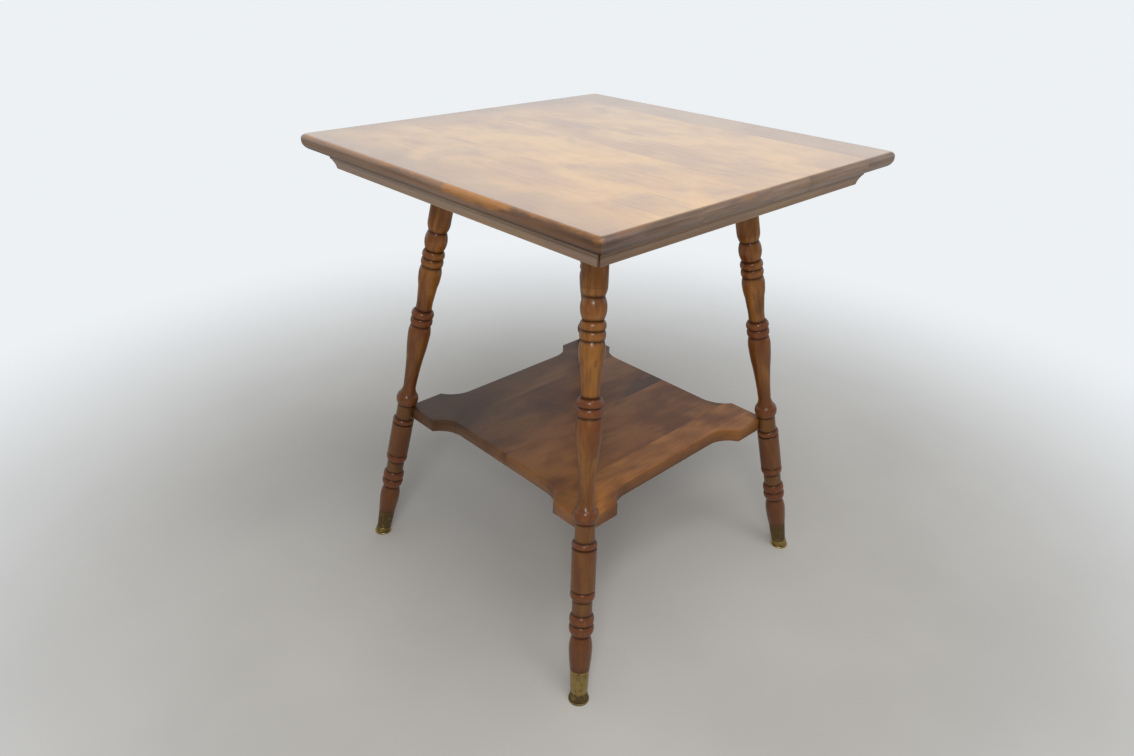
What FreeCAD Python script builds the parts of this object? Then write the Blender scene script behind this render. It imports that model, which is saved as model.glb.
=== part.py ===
import FreeCAD, Part
import collections
import math
import os
import Sketcher

# A square end table: an edge-glued top with a rounded edge, a mitred apron moulding,
# two battens that carry four splayed turned legs, and an eared shelf between the legs.
# Frame: millimetres, +Z up, origin on the floor under the centre of the top.
# Front is -Y and left is -X. Legs lean inwards along the diagonals as they rise.

SIZES = (
    # the top
    ("top_side", 610.0, "side of the square top"),
    ("table_height", 718.0, "floor to the upper face of the top"),
    ("top_thickness", 22.0, "thickness of the top boards"),
    ("top_upper_round", 3.0, "radius along the top's upper arris"),
    ("top_lower_round", 12.0, "radius along the top's lower arris"),
    ("top_seam_1", -140.0, "X of the glued seam between top boards 1 and 2"),
    ("top_seam_2", -10.0, "X of the seam between boards 2 and 3"),
    ("top_seam_3", 76.0, "X of the seam between boards 3 and 4"),
    ("top_board_5_width", 80.0, "width of board 5, from seam 4 to the top's side"),
    # the apron under the top
    ("top_overhang", 29.5, "how far the top stands out past the apron's lip"),
    ("apron_height", 27.5, "height of the apron moulding"),
    ("apron_lip", 13.0, "height of the upright lip above the cove"),
    ("apron_set_in", 6.5, "how far the foot of the cove stands in from the lip"),
    ("apron_hollow", 0.9, "depth of the cove off its chord"),
    ("apron_width", 24.0, "width of the moulding from lip to inner face"),
    ("mitre_gap", 0.3, "gap at each mitre"),
    ("block_side", 46.0, "short sides of a triangular glue block"),
    ("block_height", 21.0, "height of a glue block"),
    # the battens that carry the legs
    ("batten_width", 62.0, "width of a batten"),
    ("batten_thickness", 27.0, "thickness of a batten"),
    ("batten_chamfer", 4.0, "chamfer on a batten's lower arrises"),
    ("batten_end_gap", 1.0, "gap between a batten's end and the apron"),
    ("socket_depth", 5.0, "depth of a leg's shoulder in the batten, on its axis"),
    # how the legs stand
    ("foot_reach", 259.0, "table centre to a leg's axis at the floor, along X and Y"),
    ("head_reach", 148.5, "the same at the underside of the top"),
    ("tenon_diameter", 22.0, "round tenon on the leg's head"),
    ("tenon_gap", 3.0, "gap between a tenon's highest point and the top"),
    ("leg_fit", 0.15, "clearance round tenons, dowels and seats"),
    # the turning, from the ferrule up
    ("foot_vase_swell", 34.0, "foot vase: ferrule to its widest"),
    ("foot_vase_fall", 22.0, "foot vase: widest to its top groove"),
    ("foot_vase_diameter", 33.8, "foot vase at its widest"),
    ("foot_groove_diameter", 25.8, "groove above the foot vase"),
    ("foot_bead_length", 18.2, "lowest bead"),
    ("ankle_bead_length", 16.0, "broad bead above it"),
    ("bead_groove_diameter", 31.0, "shallow grooves between neighbouring beads"),
    ("bead_diameter", 35.6, "beads at their widest"),
    ("ankle_neck_length", 22.0, "plain neck above the broad bead"),
    ("ankle_neck_diameter", 29.0, "plain neck's diameter"),
    ("knee_bead_length", 15.0, "bead under the lower barrel"),
    ("barrel_diameter", 35.2, "lower and upper barrels"),
    ("barrel_ease", 1.5, "eased ends of the lower barrel"),
    ("shelf_bead_length", 10.0, "bead that the shelf's corner is let down on"),
    ("shelf_neck_length", 27.6, "plain neck that the shelf's corner meets"),
    ("shelf_neck_diameter", 28.6, "plain neck's diameter there"),
    ("cup_bead_length", 21.0, "cup-shaped bead above the shelf"),
    ("cup_bead_diameter", 36.4, "cup bead at its widest"),
    ("cup_lip_diameter", 28.6, "lip on top of the cup"),
    ("cup_cove_length", 17.0, "hollow between the cup and the lower vase"),
    ("waist_diameter", 21.2, "slimmest part of the leg"),
    ("lower_vase_shoulder", 39.0, "lower vase: taper to its widest"),
    ("lower_vase_fall", 20.5, "lower vase: widest to its top groove"),
    ("lower_vase_diameter", 35.7, "lower vase at its widest"),
    ("pair_bead_length", 13.8, "each of the pair of beads at mid leg"),
    ("upper_waist_diameter", 25.4, "plain waist of the upper vase"),
    ("upper_waist_length", 13.0, "length of that waist"),
    ("upper_vase_shoulder", 18.0, "upper vase: taper to its widest"),
    ("upper_vase_fall", 16.9, "upper vase: widest to its top groove"),
    ("upper_vase_diameter", 35.2, "upper vase at its widest"),
    ("neck_bead_length", 13.4, "each of the pair of beads under the ball"),
    ("neck_bead_diameter", 35.0, "those beads at their widest"),
    ("ball_length", 30.5, "ball under the upper barrel"),
    ("ball_diameter", 35.2, "ball at its widest"),
    ("ball_groove_diameter", 28.2, "grooves at both ends of the ball"),
    ("head_round_length", 15.0, "rounded lower end of the upper barrel"),
    ("slight_curve", 0.5, "rise of the vases' long curves off their chords"),
    ("full_curve", 1.0, "rise of the vases' short, full curves"),
    ("cup_cove_depth", 1.4, "depth of the hollow above the cup off its chord"),
    ("swell_share", 0.328, "lower vase's share of the free turning above the shelf"),
    ("sweep_share", 0.168, "upper vase's share of it; the upper barrel has the rest"),
    # ferrules and glides
    ("glide_height", 12.5, "floor to the ferrule along the leg's axis"),
    ("glide_diameter", 30.6, "rim of a glide on the floor"),
    ("glide_rim", 2.4, "thickness of that rim"),
    ("glide_neck_diameter", 27.0, "foot of a glide's neck, on the rim"),
    ("stem_diameter", 5.0, "glide's stem in the leg"),
    ("stem_length", 24.0, "length of the stem past the ferrule's floor"),
    ("ferrule_length", 38.0, "length of a ferrule"),
    ("ferrule_foot_diameter", 24.4, "ferrule's outside at the glide"),
    ("ferrule_mouth_diameter", 28.4, "ferrule's outside at the wood"),
    ("ferrule_wall", 0.9, "brass thickness"),
    ("ferrule_floor", 1.2, "thickness of the ferrule's closed end"),
    ("ferrule_fit", 0.1, "clearance between brass and wood"),
    # the shelf
    ("shelf_level", 247.0, "floor to the shelf's underside"),
    ("shelf_thickness", 22.0, "thickness of the shelf boards"),
    ("corner_hollow", 6.4, "depth of the hollow in a shelf corner that a leg's neck fits"),
    ("shelf_recess", 26.0, "depth of the recess between two ears"),
    ("ear_length", 65.0, "ear: from the shelf's corner along its side"),
    ("ear_cove", 50.0, "radius of the cove beside an ear"),
    ("shelf_seam_1", -139.0, "Y of the glued seam between shelf boards 1 and 2"),
    ("shelf_seam_2", -12.0, "Y of the seam between boards 2 and 3"),
    ("shelf_seam_3", 115.0, "Y of the seam between boards 3 and 4"),
    ("dowel_diameter", 8.0, "dowel between a shelf corner and a leg"),
    ("dowel_length", 42.0, "length of that dowel"),
    ("dowel_in_leg", 16.4, "how far the dowel goes into the leg's neck"),
    # the screws through the battens
    ("screw_diameter", 5.0, "shank of a batten screw"),
    ("screw_length", 38.0, "length of a batten screw"),
    ("screw_head_diameter", 9.6, "head of a batten screw"),
    ("screw_head_height", 3.0, "height of its countersunk head"),
    ("screw_fit", 0.1, "clearance round a screw"),
    ("screw_edge", 14.0, "end screws: distance from the batten's end"),
    ("screw_offset", 26.0, "screw in board 4: distance from seam 3"),
)

SIDES = ("front", "right", "back", "left")
CORNERS = {
    "front_left": (-1, -1),
    "front_right": (1, -1),
    "back_right": (1, 1),
    "back_left": (-1, 1),
}
ROOT_2 = math.sqrt(2.0)
QUARTER_TURN = 90.0
ROUND_RISE = 1.0 - 1.0 / ROOT_2  # rise of a quarter circle off its chord, for radius 1
MARGIN = 2.0  # how far the outline of a cut reaches past the wood

DOC = FreeCAD.newDocument("EndTable")
SHEET = DOC.addObject("Spreadsheet::Sheet", "Sizes")
for row, (alias, number, note) in enumerate(SIZES, start=1):
    SHEET.set("A%d" % row, note)
    SHEET.set("B%d" % row, str(number))
    SHEET.setAlias("B%d" % row, alias)
DOC.recompute()


class Dim:
    """A number together with the sheet formula that it follows."""

    def __init__(self, number, formula):
        self.number = number
        self.formula = formula

    def joined(self, sign, other, number):
        return Dim(number, "(%s %s %s)" % (self.formula, sign, other.formula))

    def __add__(self, other):
        other = dim(other)
        return self.joined("+", other, self.number + other.number)

    def __sub__(self, other):
        other = dim(other)
        return self.joined("-", other, self.number - other.number)

    def __mul__(self, other):
        other = dim(other)
        return self.joined("*", other, self.number * other.number)

    def __truediv__(self, other):
        other = dim(other)
        return self.joined("/", other, self.number / other.number)

    def __neg__(self):
        return Dim(-self.number, "(-1 * %s)" % self.formula)


def dim(value):
    """Turn a plain number into a Dim; a Dim stays as it is."""
    if isinstance(value, Dim):
        return value
    return Dim(float(value), "%.12g" % value)


def size(alias):
    """The sheet cell with this alias."""
    return Dim(float(SHEET.get(alias)), "Sizes." + alias)


def half(alias):
    """Half of a cell, such as a round part's radius."""
    return size(alias) / 2


def root(value):
    return Dim(math.sqrt(value.number), "sqrt(%s)" % value.formula)


def angle_of(slope):
    """The angle, in degrees, whose tangent is slope."""
    return Dim(math.degrees(math.atan(slope.number)), "atan(%s)" % slope.formula)


def sine(angle):
    return Dim(math.sin(math.radians(angle.number)), "sin(%s)" % angle.formula)


def cosine(angle):
    return Dim(math.cos(math.radians(angle.number)), "cos(%s)" % angle.formula)


def sum_of(*aliases):
    total = size(aliases[0])
    for alias in aliases[1:]:
        total = total + size(alias)
    return total


def bind(item, path, value):
    """Tie a property to its formula."""
    item.setExpression(path, dim(value).formula)


def place(item, x, y, z, axis=(0, 0, 1), angle=0.0, path="Placement"):
    """Set a placement and tie its base, and its angle where that is a Dim, to the sheet."""
    x, y, z = dim(x), dim(y), dim(z)
    base = FreeCAD.Vector(x.number, y.number, z.number)
    turn = FreeCAD.Rotation(FreeCAD.Vector(*axis), dim(angle).number)
    setattr(item, path, FreeCAD.Placement(base, turn))
    for letter, value in (("x", x), ("y", y), ("z", z)):
        bind(item, "%s.Base.%s" % (path, letter), value)
    if isinstance(angle, Dim):
        bind(item, path + ".Rotation.Angle", angle)


# --- sketches -------------------------------------------------------------------------

# A corner of an outline. Its height is given from the sketch's origin (y) or from the
# corner before it (step). rise is the outward bulge of the edge that leads to it.
Corner = collections.namedtuple("Corner", "x y step rise")


def at(x, y, rise=None):
    return Corner(dim(x), dim(y), None, rise)


def up(x, step, rise=None):
    return Corner(dim(x), None, dim(step), rise)


def mirrored(corners):
    """The same outline mirrored left to right, still counterclockwise."""
    count = len(corners)
    outline = []
    for k in range(count):
        corner = corners[count - 1 - k]
        rise = corners[(count - k) % count].rise
        outline.append(Corner(-corner.x, corner.y, corner.step, rise))
    return outline


def quarter_turned(corners, turns):
    """The same outline turned about the origin by a number of right angles."""
    for _ in range(turns):
        corners = [Corner(-c.y, c.x, None, c.rise) for c in corners]
    return corners


def new_body(name):
    body = DOC.addObject("PartDesign::Body", name)
    body.Label = name
    return body


def attach(item, body, role):
    """Lay an item on one of its body's own origin planes."""
    planes = [plane for plane in body.Origin.OriginFeatures if plane.Role == role]
    item.AttachmentSupport = [(planes[0], "")]
    item.MapMode = "FlatFace"


def new_sketch(body, name, role):
    sketch = body.newObject("Sketcher::SketchObject", name)
    attach(sketch, body, role)
    return sketch


def arc_middle(start, end, rise):
    """Middle point of an arc that bulges to the right of the way from start to end."""
    across = end - start
    side = FreeCAD.Vector(across.y, -across.x, 0).normalize()
    return (start + end) * 0.5 + side * rise


def hold(sketch, kind, where, value, path):
    """Add a dimension and tie it to its formula."""
    index = sketch.addConstraint(Sketcher.Constraint(kind, *where, value.number))
    sketch.renameConstraint(index, path)
    bind(sketch, "Constraints." + path, value)


def trace(sketch, corners, tag="p"):
    """Draw a closed outline, counterclockwise, with every corner dimensioned."""
    heights = []
    for corner in corners:
        heights.append(corner.y if corner.y is not None else heights[-1] + corner.step)
    points = [FreeCAD.Vector(c.x.number, h.number, 0) for c, h in zip(corners, heights)]
    count = len(corners)
    edges = []
    for k in range(count):
        start, end = points[k - 1], points[k]
        rise = corners[k].rise
        if rise is None:
            edge = sketch.addGeometry(Part.LineSegment(start, end), False)
            edges.append((edge, 1, 2))
            continue
        middle = arc_middle(start, end, dim(rise).number)
        edge = sketch.addGeometry(Part.Arc(start, middle, end), False)
        forward = sketch.getPoint(edge, 1).distanceToPoint(start) < 1e-4
        edges.append((edge, 1, 2) if forward else (edge, 2, 1))
    for k in range(count):
        edge, _, last = edges[k]
        follower, first, _ = edges[(k + 1) % count]
        sketch.addConstraint(Sketcher.Constraint("Coincident", edge, last, follower, first))
    for k in range(count):
        corner = corners[k]
        edge, _, last = edges[k]
        name = "%s%d" % (tag, k)
        hold(sketch, "DistanceX", (-1, 1, edge, last), corner.x, name + "x")
        if corner.step is None:
            hold(sketch, "DistanceY", (-1, 1, edge, last), heights[k], name + "y")
        else:
            before, _, before_end = edges[k - 1]
            hold(sketch, "DistanceY", (before, before_end, edge, last), corner.step, name + "y")
        if corner.rise is not None:
            rise = dim(corner.rise)
            rise = rise if rise.number > 0 else -rise
            run = corner.x - corners[k - 1].x
            climb = corner.step or (heights[k] - heights[k - 1])
            chord = run * run + climb * climb
            hold(sketch, "Radius", (edge,), (chord / 4 + rise * rise) / (rise * 2), name + "r")


def trace_circle(sketch, diameter, x=0.0, y=0.0):
    x, y = dim(x), dim(y)
    center = FreeCAD.Vector(x.number, y.number, 0)
    circle = Part.Circle(center, FreeCAD.Vector(0, 0, 1), diameter.number / 2)
    edge = sketch.addGeometry(circle, False)
    hold(sketch, "DistanceX", (-1, 1, edge, 3), x, "centerx")
    hold(sketch, "DistanceY", (-1, 1, edge, 3), y, "centery")
    hold(sketch, "Diameter", (edge,), diameter, "across")


def pad(body, sketch, length, symmetric=False):
    feature = body.newObject("PartDesign::Pad", "Pad")
    feature.Profile = sketch
    feature.SideType = "Symmetric" if symmetric else "One side"
    bind(feature, "Length", length)
    return feature


def pocket(body, sketch):
    """Cut a sketch's outline right through, both ways."""
    feature = body.newObject("PartDesign::Pocket", "Pocket")
    feature.Profile = sketch
    feature.SideType = "Symmetric"
    feature.Type = "ThroughAll"
    return feature


def revolve(body, sketch):
    feature = body.newObject("PartDesign::Revolution", "Turned")
    feature.Profile = sketch
    feature.ReferenceAxis = (sketch, ["V_Axis"])
    feature.Angle = 360.0
    return feature


def bore(body, diameter, height, x, y, z, axis=(0, 0, 1), angle=0.0):
    """Drill a round hole from a point, along Z turned about axis by angle."""
    feature = body.newObject("PartDesign::SubtractiveCylinder", "Bore")
    attach(feature, body, "XY_Plane")
    bind(feature, "Radius", dim(diameter) / 2)
    bind(feature, "Height", height)
    place(feature, x, y, z, axis, angle, "AttachmentOffset")
    return feature


# --- sizes that several pieces share ---------------------------------------------------

UNDER_TOP = size("table_height") - size("top_thickness")
SLOPE = (size("foot_reach") - size("head_reach")) * ROOT_2 / UNDER_TOP
LEAN = angle_of(SLOPE)
FROM_FLOOR = angle_of(dim(1) / SLOPE)
RISE = cosine(LEAN)
SPREAD = sine(LEAN)
TOP_HALF = half("top_side")
LIP_FACE = TOP_HALF - size("top_overhang")
APRON_INSIDE = LIP_FACE - size("apron_width")
BATTEN_LEVEL = UNDER_TOP - size("batten_thickness")
BATTEN_HALF = APRON_INSIDE - size("batten_end_gap")
SHOULDER = (BATTEN_LEVEL + size("socket_depth")) / RISE
TENON_END = (UNDER_TOP - size("tenon_gap") - half("tenon_diameter") * SPREAD) / RISE
FERRULE_TOP = size("glide_height") + size("ferrule_length")


def reach_at(level):
    """Distance along X and along Y from the table's centre to a leg's axis."""
    drop = size("foot_reach") - size("head_reach")
    return size("foot_reach") - drop * level / UNDER_TOP


def tilt_axis(corner):
    """Level axis about which a leg leans inwards."""
    x, y = CORNERS[corner]
    return (y, -x, 0)


def drill_along_leg(body, corner, diameter, height, body_y=0.0, body_z=0.0):
    """Drill from the leg's point on the floor, along its axis."""
    x, y = CORNERS[corner]
    reach = size("foot_reach")
    bore(body, diameter, height, reach * x, reach * y - body_y, dim(0) - body_z,
         tilt_axis(corner), LEAN)


# --- the top ---------------------------------------------------------------------------

SEAMS = [-TOP_HALF] + [size("top_seam_%d" % k) for k in (1, 2, 3)]
SEAMS += [TOP_HALF - size("top_board_5_width"), TOP_HALF]
TOP_BOARDS = range(1, len(SEAMS))
SCREW_PLACES = (
    size("screw_edge") - BATTEN_HALF,
    (SEAMS[1] + SEAMS[2]) / 2,
    (SEAMS[2] + SEAMS[3]) / 2,
    SEAMS[3] + size("screw_offset"),
    BATTEN_HALF - size("screw_edge"),
)
BATTEN_REACH = reach_at(BATTEN_LEVEL + half("batten_thickness"))
BATTENS = {"front": -1, "back": 1}


def rounded_section():
    """The top's section across two rounded edges, with its underside at height 0."""
    low = size("top_lower_round")
    high = size("top_upper_round")
    thick = size("top_thickness")
    return (
        at(-(TOP_HALF - low), 0, low * ROUND_RISE),
        at(TOP_HALF - low, 0),
        at(TOP_HALF, low, low * ROUND_RISE),
        at(TOP_HALF, thick - high),
        at(TOP_HALF - high, thick, high * ROUND_RISE),
        at(-(TOP_HALF - high), thick),
        at(-TOP_HALF, thick - high, high * ROUND_RISE),
        at(-TOP_HALF, low),
    )


def arris_waste(edge):
    """What rounding takes off a right-hand long edge, under it and over it."""
    low = size("top_lower_round")
    high = size("top_upper_round")
    thick = size("top_thickness")
    under = (
        at(edge - low, 0, low * -ROUND_RISE),
        at(edge - low, -MARGIN),
        at(edge + MARGIN, -MARGIN),
        at(edge + MARGIN, low),
        at(edge, low),
    )
    over = (
        at(edge, thick - high, high * -ROUND_RISE),
        at(edge + MARGIN, thick - high),
        at(edge + MARGIN, thick + MARGIN),
        at(edge - high, thick + MARGIN),
        at(edge - high, thick),
    )
    return under, over


def make_top_board(number):
    """One board of the top, its grain along Y, rounded wherever it meets the edge."""
    left, right = SEAMS[number - 1], SEAMS[number]
    body = new_body("top_board_%d" % number)
    place(body, left, 0, UNDER_TOP)
    section = new_sketch(body, "EndSection", "YZ_Plane")
    trace(section, rounded_section())
    pad(body, section, right - left)
    if number == TOP_BOARDS[-1]:
        waste = arris_waste(right - left)
    elif number == TOP_BOARDS[0]:
        waste = [mirrored(outline) for outline in arris_waste(dim(0))]
    else:
        waste = ()
    for name, outline in zip(("UnderRound", "OverRound"), waste):
        sketch = new_sketch(body, name, "XZ_Plane")
        trace(sketch, outline)
        pocket(body, sketch)
    depth = size("screw_length") - size("batten_thickness") + size("screw_fit")
    hole = size("screw_diameter") + size("screw_fit") * 2
    for side in BATTENS.values():
        spot = SCREW_PLACES[number - 1] - left
        bore(body, hole, depth, spot, BATTEN_REACH * side, 0)
    return body


# --- the apron and its glue blocks --------------------------------------------------------


def apron_section():
    """Front moulding's section: an upright lip above a shallow cove."""
    foot = LIP_FACE - size("apron_set_in")
    lip_foot = size("apron_height") - size("apron_lip")
    return (
        at(-foot, 0, size("apron_hollow") * -1),
        at(-APRON_INSIDE, 0),
        at(-APRON_INSIDE, size("apron_height")),
        at(-LIP_FACE, size("apron_height")),
        at(-LIP_FACE, lip_foot),
    )


def mitre_waste():
    """Triangle that a mitre takes off the moulding's right-hand end, seen from above."""
    half_gap = size("mitre_gap") / ROOT_2
    near = APRON_INSIDE - MARGIN
    far = LIP_FACE + MARGIN
    return (
        at(near, -(near + half_gap)),
        at(far, -(far + half_gap)),
        at(far, -(near + half_gap)),
    )


def make_apron(side):
    """One mitred moulding of the apron, drawn at the front and turned to its side."""
    body = new_body("apron_" + side)
    turn = QUARTER_TURN * SIDES.index(side)
    place(body, 0, 0, UNDER_TOP - size("apron_height"), (0, 0, 1), turn)
    section = new_sketch(body, "Section", "YZ_Plane")
    trace(section, apron_section())
    pad(body, section, LIP_FACE * 2, symmetric=True)
    for name, outline in (("RightMitre", mitre_waste()), ("LeftMitre", mirrored(mitre_waste()))):
        sketch = new_sketch(body, name, "XY_Plane")
        trace(sketch, outline)
        pocket(body, sketch)
    return body


def make_glue_block(corner):
    """Triangular block rubbed into an inner corner of the apron, drawn at the back right."""
    turns = ("back_right", "back_left", "front_left", "front_right").index(corner)
    body = new_body("glue_block_" + corner)
    level = UNDER_TOP - size("block_height")
    place(body, 0, 0, level, (0, 0, 1), QUARTER_TURN * turns)
    plan = new_sketch(body, "Plan", "XY_Plane")
    trace(plan, (
        at(APRON_INSIDE, APRON_INSIDE - size("block_side")),
        at(APRON_INSIDE, APRON_INSIDE),
        at(APRON_INSIDE - size("block_side"), APRON_INSIDE),
    ))
    pad(body, plan, size("block_height"))
    return body


# --- the battens and their screws ----------------------------------------------------------


def make_batten(side):
    """Batten across the top's grain, bored for two leg heads and five screws."""
    body = new_body("batten_" + side)
    middle = BATTEN_REACH * BATTENS[side]
    place(body, 0, middle, BATTEN_LEVEL)
    section = new_sketch(body, "Section", "YZ_Plane")
    edge = half("batten_width")
    cut = size("batten_chamfer")
    trace(section, (
        at(-(edge - cut), 0),
        at(edge - cut, 0),
        at(edge, cut),
        at(edge, size("batten_thickness")),
        at(-edge, size("batten_thickness")),
        at(-edge, cut),
    ))
    pad(body, section, BATTEN_HALF * 2, symmetric=True)
    seat = size("barrel_diameter") + size("leg_fit") * 2
    socket = size("tenon_diameter") + size("leg_fit") * 2
    through = (UNDER_TOP + size("tenon_diameter")) / RISE
    for corner in CORNERS:
        if corner.startswith(side):
            drill_along_leg(body, corner, seat, SHOULDER, middle, BATTEN_LEVEL)
            drill_along_leg(body, corner, socket, through, middle, BATTEN_LEVEL)
    hole = size("screw_diameter") + size("screw_fit") * 2
    for spot in SCREW_PLACES:
        bore(body, hole, size("batten_thickness"), spot, 0, 0)
        sink = body.newObject("PartDesign::SubtractiveCone", "Countersink")
        attach(sink, body, "XY_Plane")
        bind(sink, "Radius1", half("screw_head_diameter") + size("screw_fit"))
        bind(sink, "Radius2", half("screw_diameter") + size("screw_fit"))
        bind(sink, "Height", size("screw_head_height"))
        place(sink, spot, 0, 0, path="AttachmentOffset")
    return body


def solid_group(name, solids):
    """Several separate solids that share one name."""
    group = DOC.addObject("Part::Compound", name)
    group.Label = name
    group.Links = solids
    return group


def make_batten_screws():
    """Countersunk wood screws up through the battens, one into each board at each batten."""
    screws = []
    for side, sign in BATTENS.items():
        for number, spot in enumerate(SCREW_PLACES, start=1):
            tag = "%s_%d" % (side, number)
            head = DOC.addObject("Part::Cone", "ScrewHead_" + tag)
            bind(head, "Radius1", half("screw_head_diameter"))
            bind(head, "Radius2", half("screw_diameter"))
            bind(head, "Height", size("screw_head_height"))
            place(head, spot, BATTEN_REACH * sign, BATTEN_LEVEL)
            shank = DOC.addObject("Part::Cylinder", "ScrewShank_" + tag)
            bind(shank, "Radius", half("screw_diameter"))
            bind(shank, "Height", size("screw_length"))
            place(shank, spot, BATTEN_REACH * sign, BATTEN_LEVEL)
            screw = DOC.addObject("Part::Fuse", "Screw_" + tag)
            screw.Base = head
            screw.Tool = shank
            screws.append(screw)
    return solid_group("batten_screws", screws)


# --- the legs, ferrules and glides ------------------------------------------------------------

SPIGOT_START = size("glide_height") + size("ferrule_floor") + size("ferrule_fit")
SHELF_BEAD_TOP = size("shelf_level") / RISE


def midway(first, second):
    """Radius midway between those of two parts of the turning."""
    return (half(first) + half(second)) / 2


def swelling(upper, lower, widest):
    """Rise of a bead's arc that reaches the widest radius between two groove radii."""
    return widest - (upper + lower) / 2


def lower_turning():
    """Leg from its spigot in the ferrule up to the bead under the shelf."""
    inside = size("ferrule_wall") + size("ferrule_fit")
    deep = half("foot_groove_diameter")
    shallow = half("bead_groove_diameter")
    neck = half("ankle_neck_diameter")
    bead = half("bead_diameter")
    barrel = half("barrel_diameter")
    seat = half("shelf_neck_diameter")
    ease = size("barrel_ease")
    barrel_end = SHELF_BEAD_TOP - size("shelf_bead_length")
    return [
        at(0, SPIGOT_START),
        at(half("ferrule_foot_diameter") - inside, SPIGOT_START),
        at(half("ferrule_mouth_diameter") - inside, FERRULE_TOP),
        at(half("ferrule_mouth_diameter"), FERRULE_TOP),
        up(half("foot_vase_diameter"), size("foot_vase_swell"), size("slight_curve")),
        up(deep, size("foot_vase_fall"), size("full_curve")),
        up(shallow, size("foot_bead_length"), swelling(shallow, deep, bead)),
        up(neck, size("ankle_bead_length"), swelling(neck, shallow, bead)),
        up(neck, size("ankle_neck_length")),
        up(shallow, size("knee_bead_length"), swelling(shallow, neck, bead)),
        up(barrel, ease),
        at(barrel, barrel_end - ease),
        at(shallow, barrel_end),
        at(seat, SHELF_BEAD_TOP, swelling(seat, shallow, bead)),
    ]


def upper_turning():
    """Leg from the plain neck at the shelf up to its tenon under the top."""
    seat = half("shelf_neck_diameter")
    lip = half("cup_lip_diameter")
    waist = half("waist_diameter")
    shallow = half("bead_groove_diameter")
    bead = half("bead_diameter")
    slim = half("upper_waist_diameter")
    widest = half("upper_vase_diameter")
    groove = half("ball_groove_diameter")
    neck_bead = half("neck_bead_diameter")
    barrel = half("barrel_diameter")
    tenon = half("tenon_diameter")
    named = sum_of(
        "shelf_neck_length", "cup_bead_length", "cup_cove_length", "lower_vase_shoulder",
        "lower_vase_fall", "pair_bead_length", "pair_bead_length", "upper_waist_length",
        "upper_vase_shoulder", "upper_vase_fall", "neck_bead_length", "neck_bead_length",
        "ball_length", "head_round_length",
    )
    free = SHOULDER - SHELF_BEAD_TOP - named
    lower_taper = midway("waist_diameter", "lower_vase_diameter")
    upper_taper = midway("upper_waist_diameter", "upper_vase_diameter")
    return [
        up(seat, size("shelf_neck_length")),
        up(lip, size("cup_bead_length"), swelling(lip, seat, half("cup_bead_diameter"))),
        up(waist, size("cup_cove_length"), -size("cup_cove_depth")),
        up(lower_taper, free * size("swell_share"), -size("slight_curve")),
        up(half("lower_vase_diameter"), size("lower_vase_shoulder"), size("slight_curve")),
        up(shallow, size("lower_vase_fall"), size("full_curve")),
        up(shallow, size("pair_bead_length"), swelling(shallow, shallow, bead)),
        up(slim, size("pair_bead_length"), swelling(slim, shallow, bead)),
        up(slim, size("upper_waist_length")),
        up(upper_taper, free * size("sweep_share")),
        up(widest, size("upper_vase_shoulder"), size("slight_curve")),
        up(shallow, size("upper_vase_fall"), size("full_curve")),
        up(shallow, size("neck_bead_length"), swelling(shallow, shallow, neck_bead)),
        up(groove, size("neck_bead_length"), swelling(groove, shallow, neck_bead)),
        up(groove, size("ball_length"), swelling(groove, groove, half("ball_diameter"))),
        up(barrel, size("head_round_length"), size("full_curve")),
        at(barrel, SHOULDER),
        at(tenon, SHOULDER),
        at(tenon, TENON_END),
        at(0, TENON_END),
    ]


def foot_point(corner):
    """Where a leg's axis meets the floor."""
    x, y = CORNERS[corner]
    return size("foot_reach") * x, size("foot_reach") * y


def stand_on_axis(body, corner):
    """Put a body's Z axis on a leg's axis, its origin on the floor."""
    x, y = foot_point(corner)
    place(body, x, y, 0, tilt_axis(corner), LEAN)


DOWEL_LEVEL = size("shelf_level") + half("shelf_thickness")
DOWEL_PAST_AXIS = size("dowel_in_leg") - half("shelf_neck_diameter") / RISE
STEM_TOP = size("glide_height") + size("ferrule_floor") + size("stem_length")


def make_leg(corner):
    """Turned leg with its spigot, tenon and the two bores for stem and dowel."""
    body = new_body("leg_" + corner)
    stand_on_axis(body, corner)
    profile = new_sketch(body, "Turning", "XZ_Plane")
    trace(profile, lower_turning() + upper_turning())
    revolve(body, profile)
    bore(body, size("stem_diameter") + size("leg_fit") * 2, STEM_TOP + size("leg_fit"), 0, 0, 0)
    x, y = CORNERS[corner]
    start = DOWEL_PAST_AXIS + size("leg_fit")
    out = start * RISE / ROOT_2
    depth = start + size("shelf_neck_diameter")
    bore(body, size("dowel_diameter") + size("leg_fit") * 2, depth,
         out * x, out * y, DOWEL_LEVEL / RISE - start * SPREAD, tilt_axis(corner), FROM_FLOOR)
    return body


def make_ferrule(corner):
    """Tapered brass cup on the leg's spigot, with a hole for the glide's stem."""
    body = new_body("ferrule_" + corner)
    stand_on_axis(body, corner)
    wall = size("ferrule_wall")
    hole = half("stem_diameter") + size("leg_fit")
    floor_top = size("glide_height") + size("ferrule_floor")
    profile = new_sketch(body, "Cup", "XZ_Plane")
    trace(profile, (
        at(hole, size("glide_height")),
        at(half("ferrule_foot_diameter"), size("glide_height")),
        at(half("ferrule_mouth_diameter"), FERRULE_TOP),
        at(half("ferrule_mouth_diameter") - wall, FERRULE_TOP),
        at(half("ferrule_foot_diameter") - wall, floor_top),
        at(hole, floor_top),
    ))
    revolve(body, profile)
    return body


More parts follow.
